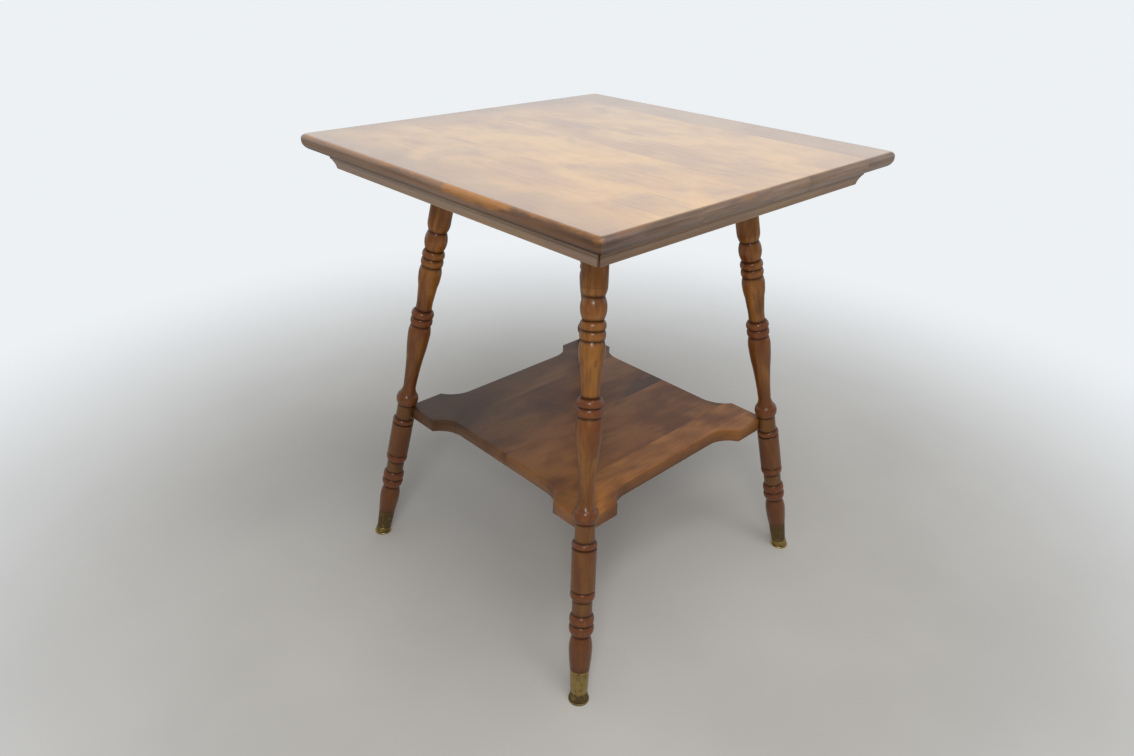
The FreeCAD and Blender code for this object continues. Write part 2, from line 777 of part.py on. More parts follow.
def make_glide(corner):
    """Foot that lies flat on the floor, with a neck and a stem that follow the leg."""
    body = new_body("foot_glide_" + corner)
    x, y = foot_point(corner)
    place(body, x, y, 0)
    rim = new_sketch(body, "Rim", "XY_Plane")
    trace_circle(rim, size("glide_diameter"))
    pad(body, rim, size("glide_rim"))
    neck_foot = new_sketch(body, "NeckFoot", "XY_Plane")
    place(neck_foot, 0, 0, size("glide_rim"), path="AttachmentOffset")
    trace_circle(neck_foot, size("glide_neck_diameter"))
    neck_top = new_sketch(body, "NeckTop", "XY_Plane")
    drift = size("glide_height") * SPREAD / ROOT_2
    side_x, side_y = CORNERS[corner]
    place(neck_top, drift * -side_x, drift * -side_y, size("glide_height") * RISE,
          tilt_axis(corner), LEAN, "AttachmentOffset")
    trace_circle(neck_top, size("ferrule_foot_diameter"))
    neck = body.newObject("PartDesign::AdditiveLoft", "Neck")
    neck.Profile = neck_foot
    neck.Sections = [neck_top]
    stem = body.newObject("PartDesign::AdditiveCylinder", "Stem")
    attach(stem, body, "XY_Plane")
    bind(stem, "Radius", half("stem_diameter"))
    bind(stem, "Height", STEM_TOP - size("glide_rim"))
    inset = size("glide_rim") * SPREAD / ROOT_2
    place(stem, inset * -side_x, inset * -side_y, size("glide_rim") * RISE,
          tilt_axis(corner), LEAN, "AttachmentOffset")
    return body


# --- the shelf and its dowels --------------------------------------------------------------

NECK_TO_CORNER = half("shelf_neck_diameter") / RISE - size("corner_hollow")
SHELF_HALF = reach_at(DOWEL_LEVEL) - NECK_TO_CORNER / ROOT_2
SHELF_SEAMS = [-SHELF_HALF] + [size("shelf_seam_%d" % k) for k in (1, 2, 3)] + [SHELF_HALF]
SHELF_BOARDS = range(1, len(SHELF_SEAMS))


def recess_waste(side):
    """What a recess takes off one side of the shelf, drawn on the right side first."""
    edge = SHELF_HALF
    deep = size("shelf_recess")
    corner = edge - size("ear_length")
    radius = size("ear_cove")
    reach = root(radius * radius - (radius - deep) * (radius - deep))
    flat = corner - reach
    chord = deep * deep + reach * reach
    rise = radius - root(radius * radius - chord / 4)
    outline = (
        at(edge, -corner, rise),
        at(edge + MARGIN, -corner),
        at(edge + MARGIN, corner),
        at(edge, corner),
        at(edge - deep, flat, rise),
        at(edge - deep, -flat),
    )
    return quarter_turned(outline, (SIDES.index(side) - SIDES.index("right")) % len(SIDES))


def drill_for_dowel(body, corner, body_y):
    """Drill a shelf board from its corner inwards for the dowel to the leg."""
    x, y = CORNERS[corner]
    reach = reach_at(DOWEL_LEVEL) + DOWEL_PAST_AXIS / ROOT_2
    bore(body, size("dowel_diameter") + size("leg_fit") * 2,
         size("dowel_length") + size("leg_fit"), reach * x, reach * y - body_y,
         half("shelf_thickness"), tilt_axis(corner), QUARTER_TURN)


def make_shelf_board(number):
    """One board of the shelf, its grain along X, cut to the shelf's eared outline."""
    front, back = SHELF_SEAMS[number - 1], SHELF_SEAMS[number]
    body = new_body("shelf_board_%d" % number)
    place(body, 0, front, size("shelf_level"))
    plan = new_sketch(body, "Plan", "XY_Plane")
    trace(plan, (
        at(-SHELF_HALF, 0),
        at(SHELF_HALF, 0),
        at(SHELF_HALF, back - front),
        at(-SHELF_HALF, back - front),
    ))
    pad(body, plan, size("shelf_thickness"))
    eared_side = {SHELF_BOARDS[0]: "front", SHELF_BOARDS[-1]: "back"}.get(number)
    sides = ["right", "left"] + ([eared_side] if eared_side else [])
    for side in sides:
        sketch = new_sketch(body, "Recess" + side.capitalize(), "XY_Plane")
        trace(sketch, [corner._replace(y=corner.y - front) for corner in recess_waste(side)])
        pocket(body, sketch)
    past_shelf = (size("shelf_level") + size("shelf_thickness") * 2) / RISE
    hollow = size("shelf_neck_diameter") + size("leg_fit") * 2
    bead_room = size("bead_diameter") + size("leg_fit") * 2
    bead_end = SHELF_BEAD_TOP + size("leg_fit")
    for corner in CORNERS:
        if eared_side and corner.startswith(eared_side):
            drill_along_leg(body, corner, hollow, past_shelf, front, size("shelf_level"))
            drill_along_leg(body, corner, bead_room, bead_end, front, size("shelf_level"))
            drill_for_dowel(body, corner, front)
    return body


def make_shelf_dowels():
    """Blind dowels, level, one from each leg's neck into the shelf's corner."""
    dowels = []
    reach = reach_at(DOWEL_LEVEL) + DOWEL_PAST_AXIS / ROOT_2
    for corner, (x, y) in CORNERS.items():
        dowel = DOC.addObject("Part::Cylinder", "Dowel_" + corner)
        bind(dowel, "Radius", half("dowel_diameter"))
        bind(dowel, "Height", size("dowel_length"))
        place(dowel, reach * x, reach * y, DOWEL_LEVEL, tilt_axis(corner), QUARTER_TURN)
        dowels.append(dowel)
    return solid_group("shelf_dowels", dowels)


# --- the whole table -------------------------------------------------------------------


def make_parts():
    parts = [make_top_board(number) for number in TOP_BOARDS]
    parts += [make_apron(side) for side in SIDES]
    parts += [make_glue_block(corner) for corner in CORNERS]
    parts += [make_batten(side) for side in BATTENS]
    parts.append(make_batten_screws())
    for corner in CORNERS:
        parts += [make_leg(corner), make_ferrule(corner), make_glide(corner)]
    parts += [make_shelf_board(number) for number in SHELF_BOARDS]
    parts.append(make_shelf_dowels())
    return parts


def check(parts):
    """Stop if any object failed or any part has no sound shape."""
    for item in DOC.Objects:
        if "Invalid" in item.State or "Error" in item.State:
            raise RuntimeError("%s failed: %s" % (item.Name, item.State))
    for part in parts:
        if part.Shape.isNull() or not part.Shape.isValid():
            raise RuntimeError(part.Label + " has no valid shape")


def main():
    parts = make_parts()
    DOC.recompute()
    check(parts)
    os.makedirs("parts", exist_ok=True)
    for part in parts:
        part.Shape.exportStep("parts/%s.step" % part.Label)
        print("%-26s %2d solid(s) %10.0f mm3" % (
            part.Label, len(part.Shape.Solids), part.Shape.Volume))


main()
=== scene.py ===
"""A square end table: varnished birch top, turned splayed legs on brass feet, eared shelf."""
import math
from collections import namedtuple

import bmesh
import bpy
from mathutils import Matrix, Vector, noise


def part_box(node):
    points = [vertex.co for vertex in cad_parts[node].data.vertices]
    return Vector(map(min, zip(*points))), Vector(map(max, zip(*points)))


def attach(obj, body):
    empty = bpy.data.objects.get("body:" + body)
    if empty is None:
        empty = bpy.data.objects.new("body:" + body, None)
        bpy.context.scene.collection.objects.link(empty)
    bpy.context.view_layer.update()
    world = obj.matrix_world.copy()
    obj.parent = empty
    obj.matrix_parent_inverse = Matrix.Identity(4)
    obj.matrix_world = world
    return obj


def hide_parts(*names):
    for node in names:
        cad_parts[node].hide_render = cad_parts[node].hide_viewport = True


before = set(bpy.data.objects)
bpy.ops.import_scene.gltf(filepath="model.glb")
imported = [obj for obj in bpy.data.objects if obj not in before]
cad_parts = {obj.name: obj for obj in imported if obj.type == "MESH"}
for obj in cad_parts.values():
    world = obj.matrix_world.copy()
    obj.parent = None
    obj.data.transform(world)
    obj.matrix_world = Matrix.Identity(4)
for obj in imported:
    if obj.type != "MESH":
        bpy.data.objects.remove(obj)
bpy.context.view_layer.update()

bl_info = {
    "name": "End Table with Shelf",
    "version": (1, 0, 0),
    "blender": (4, 5, 0),
    "location": "3D View > Sidebar > End Table",
    "description": "Builds a square end table with turned legs, brass feet and an eared shelf",
    "category": "Add Mesh",
}

MM = 0.001
BODY = "root"
CORNERS = {
    "front_left": (-1, -1),
    "front_right": (1, -1),
    "back_right": (1, 1),
    "back_left": (-1, 1),
}


# --- where the frame puts things, in metres ---

TOP_HALF, _, TABLE_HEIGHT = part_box("top_board_5")[1]
UNDER_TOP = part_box("top_board_1")[0][2]
TOP_SEAMS = [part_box("top_board_%d" % number)[1][0] for number in (1, 2, 3, 4)]
LIP_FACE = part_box("apron_front")[1][0]
APRON_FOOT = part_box("apron_front")[0][2]
SHELF_LEVEL, SHELF_TOP = (corner[2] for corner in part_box("shelf_board_1"))
SHELF_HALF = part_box("shelf_board_4")[1][1]
SHELF_SEAMS = [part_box("shelf_board_%d" % number)[1][1] for number in (1, 2, 3)]
BATTEN_LOW, BATTEN_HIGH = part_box("batten_front")
BATTEN_REACH = -(BATTEN_LOW[1] + BATTEN_HIGH[1]) / 2
GLIDE_LOW, GLIDE_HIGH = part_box("foot_glide_back_right")
FOOT_REACH = (GLIDE_LOW[0] + GLIDE_HIGH[0]) / 2
SLOPE = (FOOT_REACH - BATTEN_REACH) / ((BATTEN_LOW[2] + BATTEN_HIGH[2]) / 2)
LEG_AXIS = Vector((-SLOPE, -SLOPE, 1)).normalized()  # of the back right leg, upwards
LEG_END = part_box("leg_back_right")[1][2]


# --- properties ---


def linear(code):
    """Turn an sRGB hex value into linear red, green and blue."""
    channels = [int(code[k:k + 2], 16) / 255 for k in (1, 3, 5)]
    return [c / 12.92 if c <= 0.04045 else ((c + 0.055) / 1.055) ** 2.4 for c in channels]


def length(name, description, millimetres):
    return bpy.props.FloatProperty(
        name=name, description=description, default=millimetres * MM, min=0.0,
        precision=5, unit="LENGTH")


def colour(name, description, code):
    return bpy.props.FloatVectorProperty(
        name=name, description=description, default=linear(code), min=0.0, max=1.0,
        subtype="COLOR")


class TopSizes(bpy.types.PropertyGroup):
    upper_round: length("Upper round", "Radius of the top's worn upper arris", 6.5)
    lower_round: length("Lower round", "Radius along the top's lower arris", 12.0)
    corner_round: length("Corner round", "Radius of the top's worn corners in plan", 8.0)
    seam_arris: length("Seam arris", "Width of the tiny arris along a glued seam", 0.04)
    dent_depth: length("Dent depth", "How deep the edge is worn and knocked", 0.45)
    apron_lip: length("Apron lip", "Height of the moulding's upright lip", 13.0)
    apron_set_in: length("Apron set-in", "How far the cove's foot stands in from the lip", 6.5)
    apron_hollow: length("Apron hollow", "Depth of the moulding's cove off its chord", 0.9)
    apron_width: length("Apron width", "Width of the moulding, from lip to inner face", 24.0)
    mitre_gap: length("Mitre gap", "Gap at a tight mitre", 0.3)
    open_mitre: length("Open mitre", "Gap at the front left mitre, which has opened", 1.1)


class LegSizes(bpy.types.PropertyGroup):
    barrel_diameter: length("Barrel", "Diameter of the plain barrels", 35.2)
    bead_diameter: length("Bead", "Diameter of the beads at their widest", 35.6)
    waist_diameter: length("Waist", "Diameter of the slimmest part", 21.2)
    neck_diameter: length("Neck", "Diameter of the plain neck at the shelf", 28.6)
    groove_diameter: length("Groove", "Diameter of the grooves between beads", 31.0)
    socket_depth: length("Socket", "Depth of the leg's shoulder in the batten", 5.0)
    tenon_diameter: length("Tenon", "Diameter of the tenon in the batten", 22.0)
    facets: bpy.props.IntProperty(
        name="Facets", description="Facets round a turned piece", default=72, min=16, max=256)


class FootSizes(bpy.types.PropertyGroup):
    ferrule_length: length("Ferrule", "Length of a brass ferrule", 38.0)
    ferrule_foot: length("Ferrule foot", "Ferrule's outside diameter at the glide", 24.4)
    ferrule_mouth: length("Ferrule mouth", "Ferrule's outside diameter at the wood", 28.4)
    ferrule_wall: length("Ferrule wall", "Thickness of the brass", 0.9)
    glide_height: length("Glide height", "Floor to ferrule, along the leg", 12.5)
    glide_diameter: length("Glide", "Diameter of a glide's rim", 30.6)
    glide_rim: length("Glide rim", "Thickness of that rim", 2.4)
    stem_diameter: length("Stem", "Diameter of the glide's stem", 5.0)


class ShelfSizes(bpy.types.PropertyGroup):
    recess: length("Recess", "Depth of the recess between two ears", 26.0)
    ear_length: length("Ear", "From the shelf's corner along its side", 65.0)
    cove_radius: length("Cove", "Radius of the cove beside an ear", 50.0)
    arris: length("Arris", "Radius of the shelf's softened arrises", 1.4)
    neck_diameter: length("Neck", "Diameter of the hollow that a leg's neck fits", 28.9)


class Finishes(bpy.types.PropertyGroup):
    stain: colour("Stain", "Stained birch of the top", "#E3B57A")
    streak: colour("Streak", "Browner stretches of the top", "#C59D7E")
    cloud: colour("Cloud", "Grey clouds in the top", "#A08676")
    edge: colour("Edge", "Stain gathered on the top's edge and the apron", "#70503A")
    end_grain: colour("End grain", "Stain soaked into end grain", "#73615A")
    worn: colour("Worn arris", "Wood where the stain has worn off", "#B98048")
    shelf: colour("Shelf", "Stained birch of the shelf", "#B4763A")
    shelf_streak: colour("Shelf streak", "Redder stretches of the shelf", "#784728")
    # The shelf cloud colour is also the painted shade that darkens the shelf towards the back
    # left.
    shelf_cloud_and_shade: colour("Shelf cloud", "Dark clouds in the shelf", "#3C281A")
    leg: colour("Leg", "Golden brown of the plain turnings", "#BA7E38")
    leg_streak: colour("Leg streak", "Darker streaks in the legs", "#82481E")
    # The leg cloud colour is also the painted shade that darkens the legs towards the feet.
    leg_cloud_and_shade: colour("Leg cloud", "Olive clouds in the legs", "#4E3318")
    bead: colour("Bead", "Red-brown of the beads", "#7D4120")
    # The groove colour also paints shade: under the top, low on its edge and underside, in the
    # leg grooves and down the legs towards the feet.
    groove: colour("Groove", "Stain and dirt in the grooves", "#2C190D")
    bare: colour("Bare wood", "Sawn wood under the top", "#B79A72")
    brass: colour("Brass", "Rubbed brass", "#A8925A")
    tarnish: colour("Tarnish", "Tarnish on the brass", "#66553A")
    steel: colour("Steel", "Oxidised steel of the screws", "#6C6660")
    floor: colour("Floor", "Plain pale floor", "#C4C0BA")
    room: colour("Room", "White room beyond the floor", "#EDF1F4")


class TableSettings(bpy.types.PropertyGroup):
    top: bpy.props.PointerProperty(type=TopSizes, name="Top", description="Top and apron")
    leg: bpy.props.PointerProperty(type=LegSizes, name="Legs", description="Turned legs")
    foot: bpy.props.PointerProperty(type=FootSizes, name="Feet", description="Brass feet")
    shelf: bpy.props.PointerProperty(type=ShelfSizes, name="Shelf", description="Shelf")
    finish: bpy.props.PointerProperty(type=Finishes, name="Finishes", description="Colours")


# --- nodes ---


class Nodes:
    """Adds nodes to a tree. A socket takes a value or the output of another node."""

    def __init__(self, tree):
        self.tree = tree

    def fill(self, node, sockets):
        for key, value in sockets.items():
            socket = node.inputs[key]
            if isinstance(value, bpy.types.NodeSocket):
                self.tree.links.new(value, socket)
            else:
                plain_colour = socket.type == "RGBA" and len(value) == 3
                socket.default_value = (*value, 1.0) if plain_colour else value

    def add(self, kind, sockets=None, out=0, **settings):
        """Add a node and give one of its outputs."""
        node = self.tree.nodes.new(kind)
        for name, value in settings.items():
            setattr(node, name, value)
        self.fill(node, sockets or {})
        return node.outputs[out] if node.outputs else None

    def math(self, operation, *values):
        return self.add("ShaderNodeMath", dict(enumerate(values)), operation=operation)

    def times(self, first, second):
        return self.math("MULTIPLY", first, second)

    def vector(self, operation, *values, out=0):
        return self.add("ShaderNodeVectorMath", dict(enumerate(values)), out,
                        operation=operation)

    def read(self, name, out=2):
        """A number stored on the mesh, or a vector at output 1."""
        return self.add("ShaderNodeAttribute", out=out, attribute_name=name)

    def place(self):
        """A point's place on its object."""
        return self.add("ShaderNodeTexCoord", out=3)

    def noise(self, coords, cells, detail=2.0, rough=0.5, twist=0.0):
        """Noise in cells of these sizes along X, Y and Z, in millimetres."""
        drawn = self.add("ShaderNodeMapping", {
            "Vector": coords, "Scale": [1 / (cell * MM) for cell in cells]})
        return self.add("ShaderNodeTexNoise", {
            "Vector": drawn, "Scale": 1.0, "Detail": detail, "Roughness": rough,
            "Distortion": twist})

    def streaks(self, coords, across, along, *look):
        """Noise drawn out along Z."""
        return self.noise(coords, (across, across, along), *look)

    def ramp(self, value, start, end, low=0.0, high=1.0):
        """Smooth step of a value between start and end."""
        return self.add("ShaderNodeMapRange", {
            "Value": value, "From Min": start, "From Max": end, "To Min": low,
            "To Max": high}, interpolation_type="SMOOTHSTEP")

    def tint(self, factor, under, over, mode="MIX"):
        """Lay one colour over another."""
        return self.add("ShaderNodeMix", {0: factor, 6: under, 7: over}, 2,
                        data_type="RGBA", blend_type=mode)

    def shade(self, body, by, factor=1.0):
        """Multiply a colour."""
        return self.tint(factor, body, by, "MULTIPLY")

    def bump(self, strength, depth, height, **under):
        """Relief this many millimetres deep."""
        return self.add("ShaderNodeBump", {
            "Strength": strength, "Distance": depth * MM, "Height": height, **under})


# --- materials ---

RING_PITCH = 2.6 * MM  # from one growth ring to the next

# How a stretch of stained birch is figured. The cells are in millimetres, across and along
# the grain; lines and fibres give the darkest and lightest shade of these patterns. The
# wood is darker far out along one of the two ways: from, to and how strongly. On the shelf
# this is painted shade, deepest at the back left under the top.
Figure = namedtuple(
    "Figure", "patches clouds shadows spread shade lines fibres rings checks ways band")

# Each stained and varnished birch: its figure, the names of its colours, and the weight and
# roughness of its coat.
BIRCHES = {
    "top": (
        Figure((110, 150), (42, 62), (80, 110), (0.33, 0.67), 0.5, (0.96, 1.04),
               (0.95, 1.05), 0.08, 0.15, ((0, 1, 0), (-1, 0, 0)), (0.26, 0.37, 0.75)),
        ("stain", "streak", "cloud"), 1.0, 0.18),
    "shelf": (
        Figure((100, 190), (52, 115), (90, 170), (0.36, 0.62), 0.72, (0.94, 1.05),
               (0.94, 1.05), 0.10, 0.60, ((-0.6, 1, 0), (-0.6, 1, 0)), (-0.04, 0.34, 0.92)),
        ("shelf", "shelf_streak", "shelf_cloud_and_shade"), 0.26, 0.26),
    "turnings": (
        Figure((26, 90), (14, 62), (9, 60), (0.35, 0.64), 0.55, (0.87, 1.10),
               (0.90, 1.07), 0.10, 0.35, ((0, 1, 0), (-1, 0, 0)), (0.45, 0.60, 0.0)),
        ("leg", "leg_streak", "leg_cloud_and_shade"), 0.60, 0.19),
}


def made_once(build, name, *values):
    """The material with this name, built the first time that it is asked for."""
    material = bpy.data.materials.get(name)
    if not material:
        material = bpy.data.materials.new(name)
        material.use_nodes = True
        nodes = Nodes(material.node_tree)
        sockets = build(nodes, bpy.context.scene.end_table.finish, *values)
        nodes.fill(nodes.tree.nodes["Principled BSDF"], sockets)
    return material


def stained_birch(n, finish, figure, names, coat, gloss):
    """Birch, planed or turned, wiped with brown stain and varnished by brush.

    The stain takes unevenly, which gives cloudy stretches, and soaks into end grain and
    grooves, which come out dark. The varnish is a clear coat that mirrors pale
    surroundings at a low angle. Rubbed arrises show the lighter, more orange wood.
    Shade is painted in too: under the top, low on its edge, in the leg grooves, down the legs
    and towards the back of the shelf. The edges are painted lighter far from the front left
    corner, and bead crowns carry a painted highlight.
    """
    stain, streak, cloud = (getattr(finish, name) for name in names)
    grain = n.read("grain", 1)
    edge, end_grain, deep, red, tone, rub = (
        n.read(mark) for mark in ("edge", "end_grain", "deep", "red", "tone", "rub"))

    # Growth rings lie round the pith, which is along Z of the grain's frame.
    radius = n.vector("LENGTH", n.vector("MULTIPLY", grain, (1, 1, 0)), out=1)
    wander = n.math("MULTIPLY_ADD", n.streaks(grain, 70, 420), 0.03, radius)
    phase = n.times(wander, 2 * math.pi / RING_PITCH)
    ring = n.ramp(n.math("SINE", phase), 0.1, 1.0)

    # Stain took unevenly, in wide patches with smaller clouds inside them. Then come lines
    # 5 mm wide, fibres 0.7 mm wide and dark checks.
    patch = n.streaks(grain, *figure.patches, 2.0, 0.5, 0.7)
    cloudy = n.streaks(grain, *figure.clouds, 4.0, 0.6, 0.5)
    blotch = n.ramp(n.add("ShaderNodeMix", {0: 0.38, 2: patch, 3: cloudy}), *figure.spread)
    shadow = n.ramp(n.streaks(grain, *figure.shadows, 4.0, 0.55, 0.6), 0.48, 0.74)
    line = n.streaks(grain, 5, 240, 3.0, 0.6)
    fibre = n.streaks(grain, 0.7, 20, 3.0, 0.65)
    check = n.ramp(n.streaks(grain, 1.3, 70, 1.0), 0.70, 0.76)
    body = n.tint(blotch, streak, stain)
    body = n.tint(n.times(shadow, figure.shade), body, cloud)

    # A band darkens the wood far out along the figure's ways: on the top along its back and
    # left, and on the shelf towards the back left, where it is painted shade under the top.
    # The tone does the same board by board, with painted shade on the shelf boards and down
    # the legs.
    place = n.place()
    far = n.math("MAXIMUM", *(
        n.vector("DOT_PRODUCT", place, way, out=1) for way in figure.ways))
    start, end, most = figure.band
    band = n.ramp(n.math("MULTIPLY_ADD", cloudy, 0.12, far), start, end, 0.0, most)
    body = n.tint(n.math("MAXIMUM", n.times(tone, 0.85), band), body, cloud)
    body = n.shade(body, n.ramp(line, 0.3, 0.7, *figure.lines))
    body = n.shade(body, n.ramp(fibre, 0.25, 0.75, *figure.fibres))
    body = n.shade(body, streak, n.times(ring, figure.rings))
    body = n.shade(body, streak, n.times(check, figure.checks))

    # Beads are wiped redder. Stain gathers on edges, in smears 7 mm high that run along
    # them, and soaks into end grain.
    # The red mark also makes the front moulding redder, a painted difference in reflection.
    body = n.tint(n.times(red, 0.8), body, finish.bead)
    gathered = n.tint(end_grain, finish.edge, finish.end_grain)
    smear = n.noise(grain, (90, 7, 130), 4.0, 0.6)
    gathered = n.shade(gathered, n.ramp(smear, 0.3, 0.7, 0.66, 1.66))
    # The edge mark is weaker farther from the front left corner: a painted reflection.
    body = n.tint(n.times(edge, 0.92), body, gathered)
    rubbing = n.math("MULTIPLY_ADD", rub, 1.2, n.streaks(grain, 9, 14, 5.0, 0.7))
    worn = n.shade(finish.worn, n.ramp(fibre, 0.25, 0.75, 0.75, 1.1))
    body = n.tint(n.ramp(rubbing, 0.85, 1.45), body, worn)
    # Grooves and mitres darken with stain and dirt, and the deep mark also paints shade under
    # the top, on the top's lower edge and down the legs.
    body = n.tint(deep, body, finish.groove)

    # The coat gleams less on handled edges and under the deep mark: in dirty grooves and
    # corners, and where shade is painted.
    # Pores and fibres lie under the coat, which has faint brush marks.
    dull = n.math("MULTIPLY_ADD", edge, 0.45, deep)
    return {
        "Base Color": body, "Roughness": n.ramp(blotch, 0.0, 1.0, 0.46, 0.36), "IOR": 1.45,
        "Specular IOR Level": 0.15, "Normal": n.bump(0.35, 0.05, fibre),
        "Coat Weight": n.ramp(dull, 0.0, 1.0, coat, 0.1 * coat), "Coat Roughness": gloss,
        "Coat IOR": 1.5, "Coat Normal": n.bump(0.25, 0.12, n.streaks(grain, 5, 45, 3.0))}


def birch(use):
    """Stained and varnished birch of the top, the shelf or the turnings."""
    return made_once(stained_birch, "varnished_birch_" + use, *BIRCHES[use])


def sawn_wood(n, finish, along):
    """Softwood left as it was sawn: pale, matt and a little furry, with saw marks."""
    turn = {"X": (0, math.pi / 2, 0), "Y": (math.pi / 2, 0, 0), "Z": (0, 0, 0)}[along]
    grain = n.add("ShaderNodeMapping", {
        "Vector": n.place(), "Location": (0.02, 0.05, 0), "Rotation": turn})
    band = n.streaks(grain, 5, 300, 3.0, 0.6, 0.3)
    fibre = n.streaks(grain, 0.8, 18, 3.0, 0.7)
    kerf = n.streaks(grain, 60, 1.8, 1.0)
    dark = [0.62 * channel for channel in finish.bare]
    body = n.tint(n.ramp(band, 0.35, 0.68), dark, finish.bare)
    body = n.shade(body, n.ramp(fibre, 0.2, 0.8, 0.78, 1.12))
    furry = n.bump(0.6, 0.2, fibre)
    return {"Base Color": body, "Roughness": 0.78,
            "Normal": n.bump(0.5, 0.25, kerf, Normal=furry)}


def aged_brass(n, finish, tarnished):
    """Drawn brass sheet, lacquer long gone: olive tarnish, rubbed bright where it is proud."""
    grain, rub = n.read("grain", 1), n.read("rub")
    patch = n.streaks(grain, 7, 14, 4.0, 0.65)
    speck = n.streaks(grain, 1.1, 1.4, 2.0, 0.6)
    film = n.ramp(patch, 0.62 - tarnished, 0.92 - tarnished)
    film = n.times(film, n.math("SUBTRACT", 1.0, rub))
    body = n.tint(film, finish.brass, finish.tarnish)
    body = n.shade(body, finish.tarnish, n.times(n.ramp(speck, 0.62, 0.72), 0.6))
    return {"Base Color": body, "Metallic": 1.0,
            "Roughness": n.ramp(film, 0.0, 1.0, 0.30, 0.52),
            "Normal": n.bump(0.3, 0.06, n.streaks(grain, 0.6, 12))}


def oxidised_steel(n, finish):
    """Turned steel wood screws gone dull and brown: soft grey gleam with rust freckles."""
    place = n.place()
    patch = n.streaks(place, 2.2, 2.2, 3.0, 0.6)
    return {"Base Color": n.tint(n.ramp(patch, 0.45, 0.65), finish.steel, finish.tarnish),
            "Metallic": 0.9, "Roughness": n.ramp(patch, 0.3, 0.7, 0.38, 0.62),
            "Normal": n.bump(0.4, 0.05, n.streaks(place, 0.5, 0.5))}


def painted_floor(n, finish):
    """Pale floor paint, rolled on: matt and grey near, lost in the white room far off."""
    place = n.place()
    away = n.vector("LENGTH", place, out=1)
    soft = n.ramp(n.streaks(place, 420, 420, 3.0), 0.3, 0.7, 0.94, 1.03)
    glow = n.add("ShaderNodeEmission", {"Color": finish.room, "Strength": 1.0})
    seen = n.add("ShaderNodeLightPath").node.outputs["Is Camera Ray"]
    far = n.times(n.ramp(away, 0.55, 1.7), seen)
    paint = n.tree.nodes["Principled BSDF"].outputs[0]
    mixed = n.add("ShaderNodeMixShader", {0: far, 1: paint, 2: glow})
    n.fill(n.tree.nodes["Material Output"], {"Surface": mixed})
    return {"Base Color": n.shade(finish.floor, soft), "Roughness": 0.85,
            "Specular IOR Level": 0.2}


# --- meshes ---


def new_piece(name, mesh, material, slot, *nodes):
    """Make an object of a finished mesh that stands for CAD nodes."""
    piece = bpy.data.objects.new(name, mesh)
    bpy.context.scene.collection.objects.link(piece)
    mesh.materials.clear()
    mesh.materials.append(material)
    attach(piece, BODY)
    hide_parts(*nodes)


def mark(mesh, **marks):
    """Store one number, or one vector, for each vertex under each name."""
    for name, values in marks.items():
        plain_number = isinstance(values[0], (int, float))
        kind, field = ("FLOAT", "value") if plain_number else ("FLOAT_VECTOR", "vector")
        flat = values if plain_number else [part for value in values for part in value]
        mesh.attributes.new(name, kind, "POINT").data.foreach_set(field, flat)


def mark_each(mesh, names, rule):
    """Store what a rule gives for each vertex under these names."""
    rows = [rule(vertex) for vertex in mesh.vertices]
    mark(mesh, **dict(zip(names, zip(*rows))))


def bell(distance, width):
    """How near a place is: 1 at the place itself, and soon 0 beyond the width."""
    return math.exp(-(distance / width) ** 2)


def quarter_turn(steps):
    """Angles from 0 to 90 degrees in even steps."""
    return [math.radians(90) * k / steps for k in range(steps + 1)]


def four_sides(points, level):
    """Repeat the points of the right side on all four, counterclockwise from above."""
    turns = [Matrix.Rotation(math.radians(90 * quarter), 3, "Z") for quarter in range(4)]
    return [turn @ Vector((x, y, level)) for turn in turns for x, y in points]


def skin_rings(rings, smooth=True):
    """Join closed rings of points, lowest first, into a tube with both ends capped."""
    bm = bmesh.new()
    loops = [[bm.verts.new(point) for point in ring] for ring in rings]
    count = len(loops[0])
    for lower, upper in zip(loops, loops[1:]):
        for k in range(count):
            follower = (k + 1) % count
            face = bm.faces.new((lower[k], lower[follower], upper[follower], upper[k]))
            face.smooth = smooth
    bm.faces.new(list(reversed(loops[0])))
    bm.faces.new(loops[-1])
    return bm


def to_mesh(bm, name):
    mesh = bpy.data.meshes.new(name)
    bm.to_mesh(mesh)
    bm.free()
    return mesh


def lay_grain(mesh, along, pith):
    """Store each vertex's place in its board: Z along the grain, the pith at X and Y 0."""
    turned = []
    for vertex in mesh.vertices:
        x, y, z = vertex.co
        across, length_wise = (x, y) if along == "Y" else (y, x)
        turned.append((across - pith[0], z - pith[1], length_wise + pith[2]))
    mark(mesh, grain=turned)


def cut_board(source, normal, low, high, arris):
    """Copy the part of a slab between two planes, with closed ends."""
    bm = source.copy()
    for level, side in ((low, -1), (high, 1)):
        if level is None:
            continue
        geometry = bm.verts[:] + bm.edges[:] + bm.faces[:]
        bmesh.ops.bisect_plane(bm, geom=geometry, dist=1e-7, plane_co=normal * level,
                               plane_no=normal * side, clear_outer=True)
        rim = [edge for edge in bm.edges if edge.is_boundary]
        end = bmesh.ops.edgeloop_fill(bm, edges=rim)["faces"]
        for face in end:
            face.smooth = False
        bmesh.ops.bevel(bm, geom=list(end[0].edges), offset=arris, segments=1,
                        affect="EDGES", clamp_overlap=True)
    bmesh.ops.recalc_face_normals(bm, faces=bm.faces[:])
    return bm


